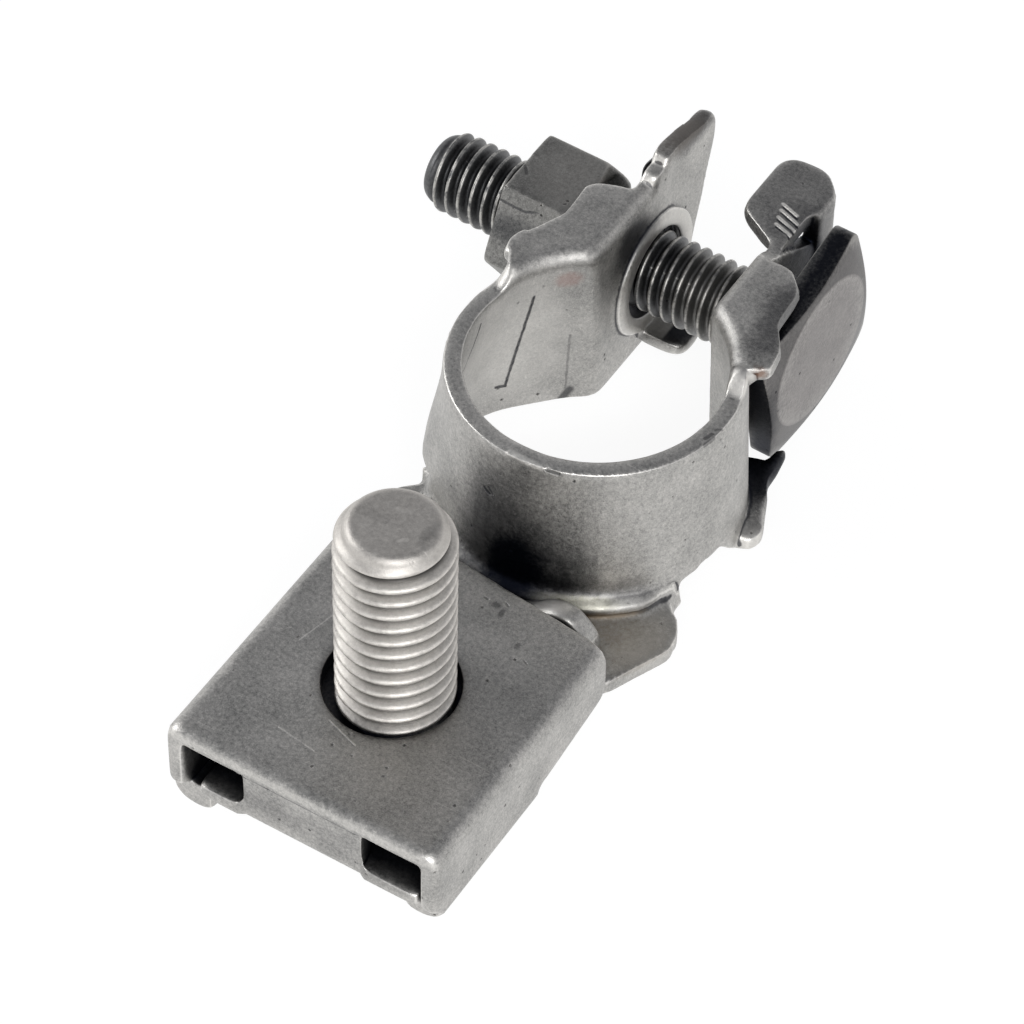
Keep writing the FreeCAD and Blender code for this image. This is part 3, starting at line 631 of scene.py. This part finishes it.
def thread_tree():
    """Geometry Nodes group for a rolled right-hand thread along Z."""
    tree = bpy.data.node_groups.new("rolled thread", "GeometryNodeTree")
    for name in THREAD_SIZES:
        tree.interface.new_socket(name, in_out="INPUT", socket_type="NodeSocketFloat")
    for name in ("rows", "sides"):
        tree.interface.new_socket(name, in_out="INPUT", socket_type="NodeSocketInt")
    tree.interface.new_socket("finish", in_out="INPUT", socket_type="NodeSocketMaterial")
    tree.interface.new_socket("mesh", in_out="OUTPUT", socket_type="NodeSocketGeometry")
    g = Graph(tree)
    sizes = tree.nodes.new("NodeGroupInput").outputs
    start, end, blank, depth, pitch, lead, lead_radius, plain, runout = (
        Wire(g, sizes[name]) for name in THREAD_SIZES)
    grid = g.add("GeometryNodeMeshGrid", None, {
        "Size X": 1.0, "Size Y": 1.0,
        "Vertices X": Wire(g, sizes["rows"]), "Vertices Y": Wire(g, sizes["sides"])})
    here = g.add("GeometryNodeInputPosition")
    along = g.add("ShaderNodeSeparateXYZ", None, {0: here}, 0) + 0.5
    around = g.add("ShaderNodeSeparateXYZ", None, {0: here}, 1) + 0.5
    travel = start - blank + along * (end - start + 2 * blank)
    height = travel.most(start).least(end)
    past = (start - travel).most(travel - end).most(0)
    phase = (height / pitch - around).maths("FRACT", height / pitch - around)
    ridge = 1 - (phase * 2 - 1).maths("ABSOLUTE", phase * 2 - 1)
    flank = ridge.ramp(STRAIGHT_ROOT_END, CREST_START, False)
    wave = 0.5 * ridge.ramp(ROOT_END, CREST_START) + 0.5 * flank
    fade = (end - plain - height).ramp(0, runout) * (height - start).ramp(0, FOOT_RUNOUT)
    into_lead = ((height - (end - lead)) / lead).most(0).least(1)
    drop = (blank - lead_radius) * (1 - (1 - into_lead * into_lead).most(0) ** 0.5)
    radius = (blank + depth * (wave - 0.5) * fade - drop) * (1 - past / blank).most(0)
    angle = around * math.tau
    place = g.add("ShaderNodeCombineXYZ", None, {
        0: radius * angle.maths("COSINE", angle), 1: radius * angle.maths("SINE", angle), 2: height})
    marked = g.add("GeometryNodeStoreNamedAttribute", {"data_type": "FLOAT", "domain": "POINT"}, {
        "Geometry": grid, "Name": "crest", "Value": wave * fade + PLAIN_CREST * (1 - fade)})
    wrapped = g.add("GeometryNodeSetPosition", None, {"Geometry": marked, "Position": place})
    welded = g.add("GeometryNodeMergeByDistance", None, {
        "Geometry": wrapped, "Distance": THREAD_WELD})
    smooth = g.add("GeometryNodeSetShadeSmooth", None, {"Geometry": welded})
    real = g.add("GeometryNodeRealizeInstances", None, {"Geometry": smooth})
    done = g.add("GeometryNodeSetMaterial", None, {
        "Geometry": real, "Material": Wire(g, sizes["finish"])})
    tree.links.new(done.socket, tree.nodes.new("NodeGroupOutput").inputs[0])
    return tree


THREAD_TREE = thread_tree()


def threaded_rod(name, finish, sides, rows, **sizes):
    """Closed threaded shank along Z. Sizes in millimetres."""
    rod = bpy.data.objects.new(name, bpy.data.meshes.new(name))
    bpy.context.scene.collection.objects.link(rod)
    modifier = rod.modifiers.new("thread", "NODES")
    modifier.node_group = THREAD_TREE
    values = {key: value * MM for key, value in sizes.items()}
    values.update(sides=sides, rows=rows, finish=finish)
    for item in THREAD_TREE.interface.items_tree:
        if item.in_out == "INPUT":
            modifier[item.identifier] = values[item.name]
    baked(rod)
    work = bmesh.new()
    work.from_mesh(rod.data)
    bmesh.ops.recalc_face_normals(work, faces=work.faces)
    work.to_mesh(rod.data)
    work.free()
    shade_smooth(rod.data)
    return rod


def placed(piece, matrix):
    """Put the place into the mesh, so that the object stays at the origin."""
    piece.data.transform(matrix)
    piece.data.update()
    return piece


def joined(first, *others):
    """Make several pieces one."""
    with bpy.context.temp_override(
            active_object=first, object=first,
            selected_objects=[first, *others], selected_editable_objects=[first, *others]):
        bpy.ops.object.join()
    return first


print("thread tree of", len(THREAD_TREE.nodes), "nodes")

# %% [markdown]
# Four finishes share one recipe: a base colour that varies in patches and in
# fine speckle, small dark pits, faint scratches, bright worn arrises, and painted
# shade in creases. Marks that belong to one place come in as lists: real marks,
# and painted shade, shadow and highlights.

# %% Metal recipe
# Near black: painted shade in creases, hollows and listed spots, and also the dark of grooves and
# black oxide.
SHADE_AND_DIRT_BLACK = (0.007, 0.009, 0.017)
# Sizes of the noises that every metal shares, in cells a millimetre.
PATCH_SCALE, FINE_SCALE, GRAIN_SCALE = 0.30, 3.6, 11.0
PIT_SCALE, PIT_EDGE, PIT_CORE = 0.9, 0.15, 0.05
# Each direction of scratches: turn about Z, and stretch along the scratch.
SCRATCH_WAYS = ((0.5, 0.10), (-1.1, 0.07))
SCRATCH_FROM, SCRATCH_TO = 0.69, 0.76
# How far noise shakes the line of a score, in millimetres.
SHAKE = 0.12
BUMP_DEPTH = 0.05 * MM


def zones(g, place, wobble, spots):
    """Soft ellipsoids, each (centre, radii, strength)."""
    total = 0.0
    for centre, radii, strength in spots:
        away = g.vector("DIVIDE", g.vector("SUBTRACT", place, centre), radii)
        gap = g.vector("LENGTH", away, None, 1) + wobble
        total = (gap.ramp(1.0, FULL_SHARE) * strength).most(total)
    return total


def metal(name, dark, light, worn, rough=0.48, speckle=1.3, pits=0.8, scratches=0.3, wear=1.0,
          crease_shade=0.8, bump=0.45, hidden=0.0, crest=None, face=None,
          scores=(), bright_strokes=(), shade_and_stains=(), pale=(), tints=(), bright_rings=()):
    """Plated metal with the marks that its lists give.

    crest is (bright share, from, dark share, below) on a thread: its bright crests are
    wear and painted highlight, and its dark roots painted shade. face is a second
    pair of colours, used where the attribute face is 1. Below 0 the metal goes towards
    black, the more the lower: black oxide, and painted shade where it is lowest. A
    bright ring is (centre, radius, half width, strength) of a painted highlight about X.
    """
    material, g = new_material(name)
    metres = g.add("ShaderNodeTexCoord", None, None, "Object")
    place = g.add("ShaderNodeVectorMath", {"operation": "SCALE"}, {0: metres, "Scale": 1 / MM})
    patch = g.noise(place, PATCH_SCALE, 4.0, 0.55)
    fine = g.noise(place, FINE_SCALE, 4.0, 0.7)
    grain = g.noise(place, GRAIN_SCALE, 2.0, 0.6)
    share = 0.5 + (patch - 0.5) * 1.0 + (fine - 0.5) * speckle + (grain - 0.5) * speckle * 0.7
    colour = g.blend(share.most(0).least(1), dark, light)
    rub = g.add("ShaderNodeAttribute", {"attribute_name": "proud"}, None, "Fac")
    # Bright crests are wear and painted highlight; dark roots are painted shade.
    if crest:
        ridge = g.add("ShaderNodeAttribute", {"attribute_name": "crest"}, None, "Fac")
        broken = g.noise(place, 1.6, 3.0, 0.7).ramp(0.3, 0.62)
        colour = g.blend(ridge.ramp(crest[1], 1.0) * crest[0] * broken, colour, worn)
        colour = g.blend(ridge.ramp(crest[3], 0.0) * crest[2], colour, [v * 0.12 for v in dark])
    # Below 0: black oxide on the bolt's flanks, and painted shade where the face value is lowest.
    if face:
        plate = g.add("ShaderNodeAttribute", {"attribute_name": "face"}, None, "Fac")
        turned_share = (plate * (0.85 + (fine - 0.5) * 0.5)).most(0)
        colour = g.blend(turned_share, colour, g.blend(share, *face))
        colour = g.blend((plate * -0.93).most(0), colour, SHADE_AND_DIRT_BLACK)
    # Pale spots are painted highlights and painted light, in the worn colour.
    if pale:
        colour = g.blend(zones(g, place, (fine - 0.5) * 0.5, pale), colour, worn)
    cells = g.add("ShaderNodeTexVoronoi", None, {
        "Vector": place, "Scale": PIT_SCALE, "Randomness": 1.0})
    pick = g.noise(place, 0.7, 1.0, 0.5).ramp(0.50, 0.60)
    pit = (cells + (grain - 0.5) * 0.15).ramp(PIT_EDGE, PIT_CORE) * pick * pits
    colour = g.blend(pit, colour, [v * 0.2 for v in dark])
    scored = 0.0
    for tilt, reach in SCRATCH_WAYS:
        turned = g.add("ShaderNodeMapping", None, {
            "Vector": place, "Rotation": (0.2, 0.1, tilt), "Scale": (reach, 3.2, 1.1)})
        scored = g.noise(turned, 1.0, 3.0, 0.6).ramp(SCRATCH_FROM, SCRATCH_TO) + scored
    colour = g.blend((scored * scratches).least(1), colour, worn)
    edge = (rub + (fine - 0.5) * 0.7).ramp(0.3, 0.95) * wear
    colour = g.blend(edge * 0.55, colour, worn)
    # Painted shade: creases darkened towards near black.
    colour = g.blend((rub * -1.0).ramp(0.15, 0.7) * crease_shade, colour, SHADE_AND_DIRT_BLACK)
    # Painted shade where other metal shuts in the outlook.
    if hidden:
        deep = g.add("ShaderNodeAttribute", {"attribute_name": "hidden"}, None, "Fac")
        painted_occlusion_shade = (deep + (patch - 0.5) * 0.2).ramp(0.22, 0.85)
        colour = g.blend(painted_occlusion_shade * hidden, colour, SHADE_AND_DIRT_BLACK)
    # Near-black spots: mostly painted shade and shadow, with a few real stains.
    if shade_and_stains:
        wobble = (patch - 0.5) * 0.5 + (fine - 0.5) * 0.25
        colour = g.blend(zones(g, place, wobble, shade_and_stains), colour, SHADE_AND_DIRT_BLACK)
    # Tints: stains of other colours, and on the sheet a painted highlight along the bead.
    for centre, radii, strength, tint in tints:
        spot = zones(g, place, (patch - 0.5) * 0.4 + (fine - 0.5) * 0.6, [(centre, radii, strength)])
        colour = g.blend(spot, colour, tint)
    # Bright rings: a painted highlight on a raised collar.
    for centre, radius, half, strength in bright_rings:
        away = g.vector("SUBTRACT", place, centre)
        across = g.vector("LENGTH", g.vector("MULTIPLY", away, (0, 1, 1)), None, 1) - radius
        off = g.vector("LENGTH", g.vector("MULTIPLY", away, (1, 0, 0)), None, 1)
        band = across.maths("ABSOLUTE", across).ramp(half, half * 0.6) * off.ramp(1.2, 0.9)
        colour = g.blend(band * (0.6 + fine * 0.5) * strength, colour, worn)
    relief = fine * 0.6 + grain * 0.4 - pit * 1.5 - scored * 0.3
    if scores:
        shake = g.vector("SUBTRACT", g.noise(place, 2.0, 2.0, 0.5, 1), (0.5, 0.5, 0.5))
        shaken = g.vector("ADD", place, g.vector("MULTIPLY", shake, (SHAKE,) * 3))
        groove = g.strokes(shaken, scores)
        colour = g.blend(groove * (0.55 + fine * 0.6), colour, SHADE_AND_DIRT_BLACK)
        relief = relief - groove * 2.5
    # Bright strokes: real rubs, and painted highlights on the cover's front edge and the stud's top.
    if bright_strokes:
        bright_stroke_mask = g.strokes(place, bright_strokes) * (0.4 + fine)
        colour = g.blend(bright_stroke_mask.least(1), colour, worn)
        relief = relief + bright_stroke_mask * 0.8
    gloss = rough + (fine - 0.5) * 0.3 - edge * 0.1 + pit * 0.2
    tilt = g.add("ShaderNodeBump", None, {
        "Strength": bump, "Distance": BUMP_DEPTH, "Height": relief})
    surface = g.add("ShaderNodeBsdfPrincipled", None, {
        "Base Color": colour, "Roughness": gloss, "Metallic": 1.0, "Normal": tilt})
    g.add("ShaderNodeOutputMaterial", None, {"Surface": surface})
    return material


print("metal recipe ready")

# %% [markdown]
# Marks make the sheet one particular old part. Scores are dark grooves and scars
# are bright rubs, both drawn as strokes; one bright stroke is a painted highlight.
# Soft ellipsoids darken the metal, mostly as painted shade and shadow, brighten it
# as painted highlights, or tint it with stains and one painted highlight. Places are in millimetres.

# %% Marks on the sheet
# Strokes are start, end, half width and strength.
SCORES = (
    ((-8.90, -0.09, 12.35), (-8.98, -1.53, 8.92), 0.15, 0.95),
    ((-7.63, 4.65, 11.59), (-8.84, 3.55, 2.52), 0.16, 1.0),
    ((-8.84, 3.55, 2.52), (-9.04, 2.96, 2.62), 0.2, 1.0),
    ((-6.05, 6.99, 6.76), (-6.35, 7.14, 0.45), 0.12, 0.4),
    ((-6.1, 7.3, 1.0), (-6.5, 7.0, 0.2), 0.45, 0.8),
    ((9.5, -2.0, 13.6), (9.7, -1.4, 13.6), 0.2, 0.6),
    ((9.9, -2.5, 13.6), (10.1, -1.6, 13.6), 0.22, 0.55),
    ((9.7, -1.0, 13.6), (10.0, -0.7, 13.6), 0.16, 0.5),
    ((-2.25, -10.1, 9.3), (-1.85, -10.2, 9.1), 0.22, 0.8),
    ((-1.9, -10.1, 9.6), (-1.6, -10.2, 9.2), 0.16, 0.6),
    ((2.3, -10.1, 13.5), (3.1, -10.0, 13.4), 0.2, 0.6),
    ((1.22, -15.53, 5.8), (1.48, -15.56, 5.8), 0.11, 0.45),
    ((2.65, -15.22, 5.8), (2.89, -15.37, 5.8), 0.11, 0.45),
    ((6.22, -18.76, 5.8), (6.56, -18.94, 5.8), 0.11, 0.45),
    ((3.14, 19.55, 13.5), (4.52, 19.04, 13.5), 0.16, 1.0),
    ((3.32, 18.96, 13.5), (4.9, 18.36, 13.5), 0.16, 1.0),
    ((3.48, 18.25, 13.5), (5.12, 17.7, 13.5), 0.16, 1.0),
    ((3.7, 17.58, 13.5), (5.03, 17.17, 13.5), 0.16, 1.0),
    ((-4.6, -35.6, 4.5), (4.6, -35.6, 4.5), 0.14, 0.9),
)
SCARS_AND_EDGE_HIGHLIGHT = (
    ((3.0, 19.8, 13.5), (4.38, 19.3, 13.5), 0.19, 1.0),
    ((3.17, 19.21, 13.5), (4.76, 18.62, 13.5), 0.19, 1.0),
    ((3.34, 18.51, 13.5), (4.98, 17.95, 13.5), 0.19, 1.0),
    ((3.56, 17.84, 13.5), (4.88, 17.43, 13.5), 0.19, 1.0),
    ((-1.6, -29.6, 5.8), (0.9, -30.4, 5.8), 0.09, 0.7),
    ((-6.9, -25.1, 5.8), (-6.2, -22.0, 5.8), 0.08, 0.5),
    ((-4.0, -31.8, 5.8), (-1.0, -32.2, 5.8), 0.07, 0.5),
    ((-0.5, -9.9, 13.6), (1.8, -10.1, 13.5), 0.35, 0.8),
    # Painted highlight along the cover's front edge.
    ((-9.6, -35.6, 5.2), (9.6, -35.6, 5.2), 0.4, 0.3),
)
# Soft spots are centre, radii and strength, and a tint has its colour too.
# Near-black spots: painted shadow in the stud's hole, and painted shade and dark reflection on the
# ring's front, the paddle, the flanges, the beak, the inner wall, the ears, the hook, the front fold
# and the pocket. The last three are real specks on the cover.
SHEET_SHADE_AND_SPECKS = (
    ((0.4, -10.5, 3.4), (3.9, 4.0, 6.6), 0.98),
    ((-0.6, -10.3, 4.6), (5.9, 4.8, 9.2), 0.62),
    ((8.0, -8.0, 2.6), (2.8, 2.4, 1.9), 0.35),
    ((4.5, 19.5, 11.0), (5.0, 6.0, 6.0), 0.55),
    ((3.4, 21.3, 13.8), (5.5, 5.5, 3.0), 0.4),
    ((9.0, 9.5, 14.5), (2.8, 6.0, 3.0), 0.62),
    ((9.2, 7.6, 0.8), (3.0, 5.0, 2.6), 0.93),
    ((8.6, 2.5, 7.0), (1.6, 5.0, 8.0), 0.25),
    ((-4.2, 12.6, 11.8), (2.0, 3.6, 3.0), 0.8),
    ((-5.2, 21.8, 15.8), (2.0, 5.0, 2.2), 0.75),
    ((5.2, 19.6, 9.4), (3.2, 3.2, 3.6), 0.9),
    ((-8.0, 21.0, 11.0), (3.0, 2.0, 5.0), 0.85),
    ((0.0, -36.2, 2.2), (12.0, 1.5, 3.4), 0.45),
    ((0.3, -24.8, 3.6), (8.6, 8.6, 2.25), 1.0),
    ((7.0, -33.6, 2.8), (2.4, 2.2, 1.6), 0.85),
    ((2.2, -15.7, 5.8), (0.55, 0.35, 0.3), 0.5),
    ((2.85, -16.1, 5.8), (0.3, 0.5, 0.3), 0.5),
    ((5.2, -17.9, 5.8), (0.3, 0.45, 0.3), 0.45),
)
# Painted highlights and painted light: on the foot, the collar, the beak's tip, the left inner wall,
# both rims, the wedge, the ear's stairs and the ring's rear foot.
SHEET_PAINTED_LIGHT = (
    ((9.0, -9.5, 1.2), (5.0, 4.5, 1.8), 0.3),
    ((-4.2, 15.3, 6.9), (1.2, 5.3, 5.3), 0.3),
    ((11.7, 2.0, 0.9), (1.7, 1.5, 1.4), 0.6),
    ((-8.5, 3.0, 7.0), (4.0, 7.0, 8.0), 0.3),
    ((-9.3, 3.0, 14.2), (1.4, 1.4, 1.0), 0.5),
    ((9.4, 3.0, 14.2), (1.4, 2.0, 1.0), 0.75),
    ((4.2, -13.2, 4.4), (2.4, 1.8, 1.6), 0.8),
    ((-5.2, 15.45, 15.1), (1.1, 0.5, 0.7), 0.9),
    ((-5.2, 16.95, 15.7), (1.1, 0.5, 0.7), 0.9),
    ((0.0, 16.0, 1.6), (5.0, 3.5, 0.8), 0.35),
)
# Brown stains on the flanges and the foot, the ear tip darkened grey, and last a painted highlight
# along the bead's top.
SHEET_TINTS_AND_BEAD_HIGHLIGHT = (
    ((-6.1, 6.5, 12.6), (1.3, 1.3, 1.0), 0.5, (0.42, 0.28, 0.25)),
    ((9.7, 4.5, 14.3), (0.9, 0.6, 0.6), 0.7, (0.22, 0.10, 0.05)),
    ((-5.2, 20.8, 16.0), (1.7, 5.0, 1.7), 0.55, (0.17, 0.15, 0.13)),
    ((6.6, -10.0, 1.5), (5.0, 4.0, 0.4), 0.45, (0.18, 0.13, 0.07)),
    ((10.0, -10.5, 1.3), (3.0, 4.0, 0.7), 0.35, (0.30, 0.26, 0.20)),
    # Painted highlight along the bead's top.
    ((6.0, -10.6, 2.2), (4.6, 3.0, 0.5), 0.25, (0.62, 0.60, 0.42)),
)
# Painted highlight on the raised collar about the bolt's hole.
COLLAR_HIGHLIGHT = (((-3.6, 15.3, 6.9), 4.2, 0.75, 0.55),)


# Longest and shortest run of a stroke that is cut up, in millimetres.
LONGEST_RUN, SHORTEST_RUN = 2.5, 0.05


def snapped(lines, tree):
    """Cut strokes into short runs whose ends lie on the nearest metal."""
    out = []
    for start, end, width, strength in lines:
        a, b = Vector(start), Vector(end)
        count = max(1, round((b - a).length / LONGEST_RUN))
        stops = [tree.find_nearest(a.lerp(b, k / count) * MM)[0] / MM for k in range(count + 1)]
        for p, q in zip(stops, stops[1:]):
            if (q - p).length > SHORTEST_RUN:
                out.append((tuple(p), tuple(q), width, strength))
    return out


sheet_scores, sheet_scars_and_highlight = snapped(SCORES, sheet_tree), snapped(SCARS_AND_EDGE_HIGHLIGHT, sheet_tree)
print("runs of strokes:", len(sheet_scores) + len(sheet_scars_and_highlight))

# %% [markdown]
# Each metal takes its own colours, dark, light and worn, and its own amounts. The
# stud is pale and matt, the bolt dark with bright crests, and the nut dull.

# %% Four metals
TIN = metal(
    "dull tin plate", dark=(0.26, 0.258, 0.25), light=(0.61, 0.595, 0.57), worn=(0.84, 0.82, 0.78),
    hidden=0.95, speckle=1.7, bump=0.55, scores=sheet_scores, bright_strokes=sheet_scars_and_highlight,
    shade_and_stains=SHEET_SHADE_AND_SPECKS, pale=SHEET_PAINTED_LIGHT, tints=SHEET_TINTS_AND_BEAD_HIGHLIGHT, bright_rings=COLLAR_HIGHLIGHT)
# On the stud: painted shadow at its foot in the hole, painted shade down its left side and on its
# top's right edge, and a faint real line across its top.
STUD_SHADE_AND_MARKS = (
    ((0.3, -24.8, 3.2), (14.0, 14.0, 3.0), 1.0),
    ((-3.6, -27.0, 14.0), (2.6, 3.4, 9.0), 0.3),
    ((2.5, -24.4, 21.3), (0.6, 1.5, 0.5), 0.3),
    ((-1.2, -25.0, 21.3), (1.6, 0.6, 0.5), 0.12),
)
# Painted highlights on the stud's top.
STUD_TOP_HIGHLIGHTS = (
    ((-0.1, -23.7, 21.3), (0.6, -23.6, 21.3), 0.3, 0.25),
    ((1.3, -25.9, 21.2), (1.7, -25.6, 21.2), 0.25, 0.5),
)
STUD_METAL = metal(
    "matt stud plating", dark=(0.40, 0.38, 0.355), light=(0.66, 0.635, 0.60),
    worn=(0.84, 0.81, 0.76), rough=0.5, speckle=1.1, pits=0.2, scratches=0.15, wear=0.4,
    crest=(0.55, 0.55, 0.95, 0.55), shade_and_stains=STUD_SHADE_AND_MARKS, bright_strokes=STUD_TOP_HIGHLIGHTS)
# Painted light on the bolt's middle.
BOLT_PAINTED_LIGHT = (((0.8, 15.3, 7.2), (4.2, 4.5, 4.5), 0.26),)
# Painted shade on the head's flank that faces the ring.
BOLT_NEAR_FLANK_SHADE = (((7.9, 9.2, 4.0), (1.35, 2.4, 7.0), 0.93),)
BOLT_METAL = metal(
    "dark bolt plating", dark=(0.055, 0.057, 0.062), light=(0.17, 0.17, 0.17),
    worn=(0.60, 0.585, 0.55), rough=0.42, speckle=1.2, wear=0.6, crest=(0.75, 0.82, 0.6, 0.6),
    face=((0.19, 0.178, 0.174), (0.38, 0.36, 0.348)), pale=BOLT_PAINTED_LIGHT, shade_and_stains=BOLT_NEAR_FLANK_SHADE)
NUT_SCORES = (
    ((-15.0, 12.1, 10.8), (-12.9, 12.0, 10.8), 0.14, 0.7),
    ((-12.9, 12.0, 10.8), (-11.7, 12.3, 11.1), 0.15, 0.7),
    ((-11.7, 12.3, 11.1), (-10.4, 13.3, 11.8), 0.12, 0.6),
    ((-14.7, 14.9, 12.0), (-14.2, 14.3, 11.9), 0.2, 0.5),
)
# Painted light on the nut's top, and painted shade on its front facet.
NUT_TOP_PAINTED_LIGHT = (((-10.5, 15.5, 12.6), (6.0, 6.0, 2.0), 0.4),)
NUT_FRONT_SHADE = (((-13.2, 11.0, 9.4), (3.6, 1.6, 2.0), 0.55),)
NUT_METAL = metal(
    "dull nut plating", dark=(0.12, 0.12, 0.115), light=(0.34, 0.335, 0.32),
    worn=(0.52, 0.50, 0.47), speckle=2.2, pits=1.0, wear=0.5,
    scores=NUT_SCORES, pale=NUT_TOP_PAINTED_LIGHT, shade_and_stains=NUT_FRONT_SHADE)
sheet.data.materials.append(TIN)
print("metals:", ", ".join(m.name for m in (TIN, STUD_METAL, BOLT_METAL, NUT_METAL)))

# %% [markdown]
# The stud stands on a flat oblong head that the box holds fast. Its thread stops
# short of the rounded, unthreaded lead at the top.

# %% Stud
STUD_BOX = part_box("stud")
STUD_AXIS = Vector((0.3, -24.8, 0)) * MM
STUD_HEAD_TOP = 4.4
# An edge that turns by more than this, in radians, is an arris.
ARRIS_TURN = 0.8
UPRIGHT_RISE = 0.5 * MM


def rounded_slab(name, low, high, corner=1.2, arris=0.15):
    """Oblong plate with rounded corners."""
    mesh = bpy.data.meshes.new(name)
    slab = bpy.data.objects.new(name, mesh)
    bpy.context.scene.collection.objects.link(slab)
    work = bmesh.new()
    bmesh.ops.create_cube(work, size=1.0)
    for v in work.verts:
        v.co = Vector([low[i] if v.co[i] < 0 else high[i] for i in range(3)])
    upright = [e for e in work.edges if abs(e.verts[0].co.z - e.verts[1].co.z) > UPRIGHT_RISE]
    bmesh.ops.bevel(work, geom=upright, offset=corner * MM, segments=6, affect="EDGES", profile=0.5)
    sharp = [e for e in work.edges if e.calc_face_angle(0) > ARRIS_TURN]
    bmesh.ops.bevel(work, geom=sharp, offset=arris * MM, segments=2, affect="EDGES", profile=0.5)
    work.to_mesh(mesh)
    work.free()
    return slab


stud = threaded_rod(
    "threaded_stud", STUD_METAL, sides=97, rows=300, start=2.0, end=STUD_BOX[1].z / MM,
    blank=3.60, depth=0.68, pitch=1.25, lead=2.0, lead_radius=2.65, plain=0.3, runout=1.2)
placed(stud, Matrix.Translation(STUD_AXIS))
head_low, head_high = STUD_BOX[0].copy(), STUD_BOX[1].copy()
head_high.z = STUD_HEAD_TOP * MM
slab = rounded_slab("stud_head", head_low, head_high)
slab.data.materials.append(STUD_METAL)
joined(stud, slab)
store_wear(stud.data)
print("stud faces", len(stud.data.polygons))

# %% [markdown]
# The clamp bolt lies a little out of square in its loose holes. Its big square
# head is forged, and a lathe has turned a flat disc with a shallow cone on the
# outer face. The head is lofted from rings of points round the bolt's axis.

# %% Clamp bolt
BOLT_SEAT = Matrix.Translation(Vector((0, 15.34, 6.88)) * MM) @ (
    Matrix.Rotation(math.radians(-1.9), 4, "Z") @ Matrix.Rotation(math.radians(0.56), 4, "Y"))
LAY_ALONG_X = Matrix(((0, 0, 1, 0), (1, 0, 0, 0), (0, 1, 0, 0), (0, 0, 0, 1)))
# What the attribute face says on the turned disc, the cone and the black flanks;
# the flank that faces the ring is darker still, as painted shade.
DISC_FACE, CONE_FACE, FLANK_FACE, SHADED_NEAR_FLANK_FACE = 1.0, 0.45, -0.75, -1.06
# The flank below this Y faces the ring, and is painted darker as shade.
NEAR_FLANK_Y = -5.0


def square_reach(angle, half, corner):
    """Distance from the centre to the side of a square with rounded corners."""
    c, s = abs(math.cos(angle)), abs(math.sin(angle))
    reach = half / max(c, s)
    if min(c, s) * reach > half - corner:
        middle = (half - corner) * (c + s)
        reach = middle + math.sqrt(middle ** 2 - 2 * (half - corner) ** 2 + corner ** 2)
    return reach


def square_head(name, inner=7.0, outer=9.2, across=12.6, corner=1.0, turned=13.1,
                disc=5.6, slope=0.22, soft=0.12, sides=240):
    """Square head along X, in millimetres."""
    points, faces = [], []
    for k in range(sides):
        angle = math.tau * k / sides
        side = square_reach(angle - math.radians(turned), across / 2, corner)
        shoulder = outer - (side - disc) * slope
        # Along the axis and out from it: seat, flank, cone, step and disc.
        profile = [
            (inner, 0.5),
            (inner, side - soft), (inner + 0.3 * soft, side - 0.3 * soft), (inner + soft, side),
            ((inner + shoulder) / 2, side), (shoulder - soft, side),
            (shoulder - 0.25 * soft, side - 0.25 * soft), (shoulder + soft * slope, side - soft),
            ((shoulder + outer) / 2, (side + disc) / 2),
            (outer - 0.05, disc + 0.16), (outer - 0.02, disc + 0.06),
            (outer, disc - 0.08), (outer, 0.5 * disc), (outer, 0.4)]
        points += [(x, r * math.cos(angle), r * math.sin(angle)) for x, r in profile]
    rows = len(profile)
    for k in range(sides):
        a, b = k * rows, (k + 1) % sides * rows
        faces += [(a + j, b + j, b + j + 1, a + j + 1) for j in range(rows - 1)]
    for x, row in ((inner, 0), (outer, rows - 1)):
        points.append((x, 0, 0))
        middle = len(points) - 1
        rim = [k * rows + row for k in range(sides)]
        faces += [(middle, rim[k], rim[(k + 1) % sides]) for k in range(sides)]
    mesh = bpy.data.meshes.new(name)
    mesh.from_pydata([[v * MM for v in p] for p in points], [], faces)
    work = bmesh.new()
    work.from_mesh(mesh)
    bmesh.ops.recalc_face_normals(work, faces=work.faces)
    work.to_mesh(mesh)
    work.free()
    shade_smooth(mesh)
    piece = bpy.data.objects.new(name, mesh)
    bpy.context.scene.collection.objects.link(piece)
    points = arrays(mesh)[0] / MM
    from_axis = np.hypot(points[:, 1], points[:, 2])
    one_row = [0] + [FLANK_FACE] * 5 + [CONE_FACE] * (rows - 6)
    face = np.append(np.tile(one_row, sides), (0, DISC_FACE))
    face = np.where((face < 0) & (points[:, 1] < NEAR_FLANK_Y), SHADED_NEAR_FLANK_FACE, face)
    on_disc = (points[:, 0] > outer - 0.1) & (from_axis < disc + 0.1)
    store(mesh, "face", np.where(on_disc, DISC_FACE, face))
    return piece


bolt = threaded_rod(
    "threaded_bolt", BOLT_METAL, sides=73, rows=420, start=-7.1, end=22.4,
    blank=2.70, depth=0.56, pitch=1.0, lead=1.5, lead_radius=2.05, plain=0.5, runout=0.7)
placed(bolt, LAY_ALONG_X @ Matrix.Rotation(math.pi, 4, "X"))
head = square_head("bolt_head")
head.data.materials.append(BOLT_METAL)
joined(bolt, head)
placed(bolt, BOLT_SEAT)
store_wear(bolt.data)
print("bolt faces", len(bolt.data.polygons))

# %% [markdown]
# The nut keeps its solid's shape. It is remeshed and softened as the sheet is, in
# coarser squares and with rounder arrises.

# %% Nut
nut = press_finish(merged_copy("clamp_nut", "hexagon_nut"), depth=6, scale=0.9,
                   straighten=4, soften=4)
nut.data.materials.append(NUT_METAL)
print("nut faces", len(nut.data.polygons))

# %% [markdown]
# Each dressed piece stands for its solid and rides on the same body, so that the
# nut and bolt still move.

# %% Bodies
for piece, body, node, slot in (
        (sheet, "terminal", "terminal_body", "tinned_sheet"), (stud, "terminal", "stud", "stud_metal"),
        (bolt, "bolt", "clamp_bolt", "bolt_metal"), (nut, "nut", "clamp_nut", "nut_metal")):
    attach(piece, body)
    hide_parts(node)
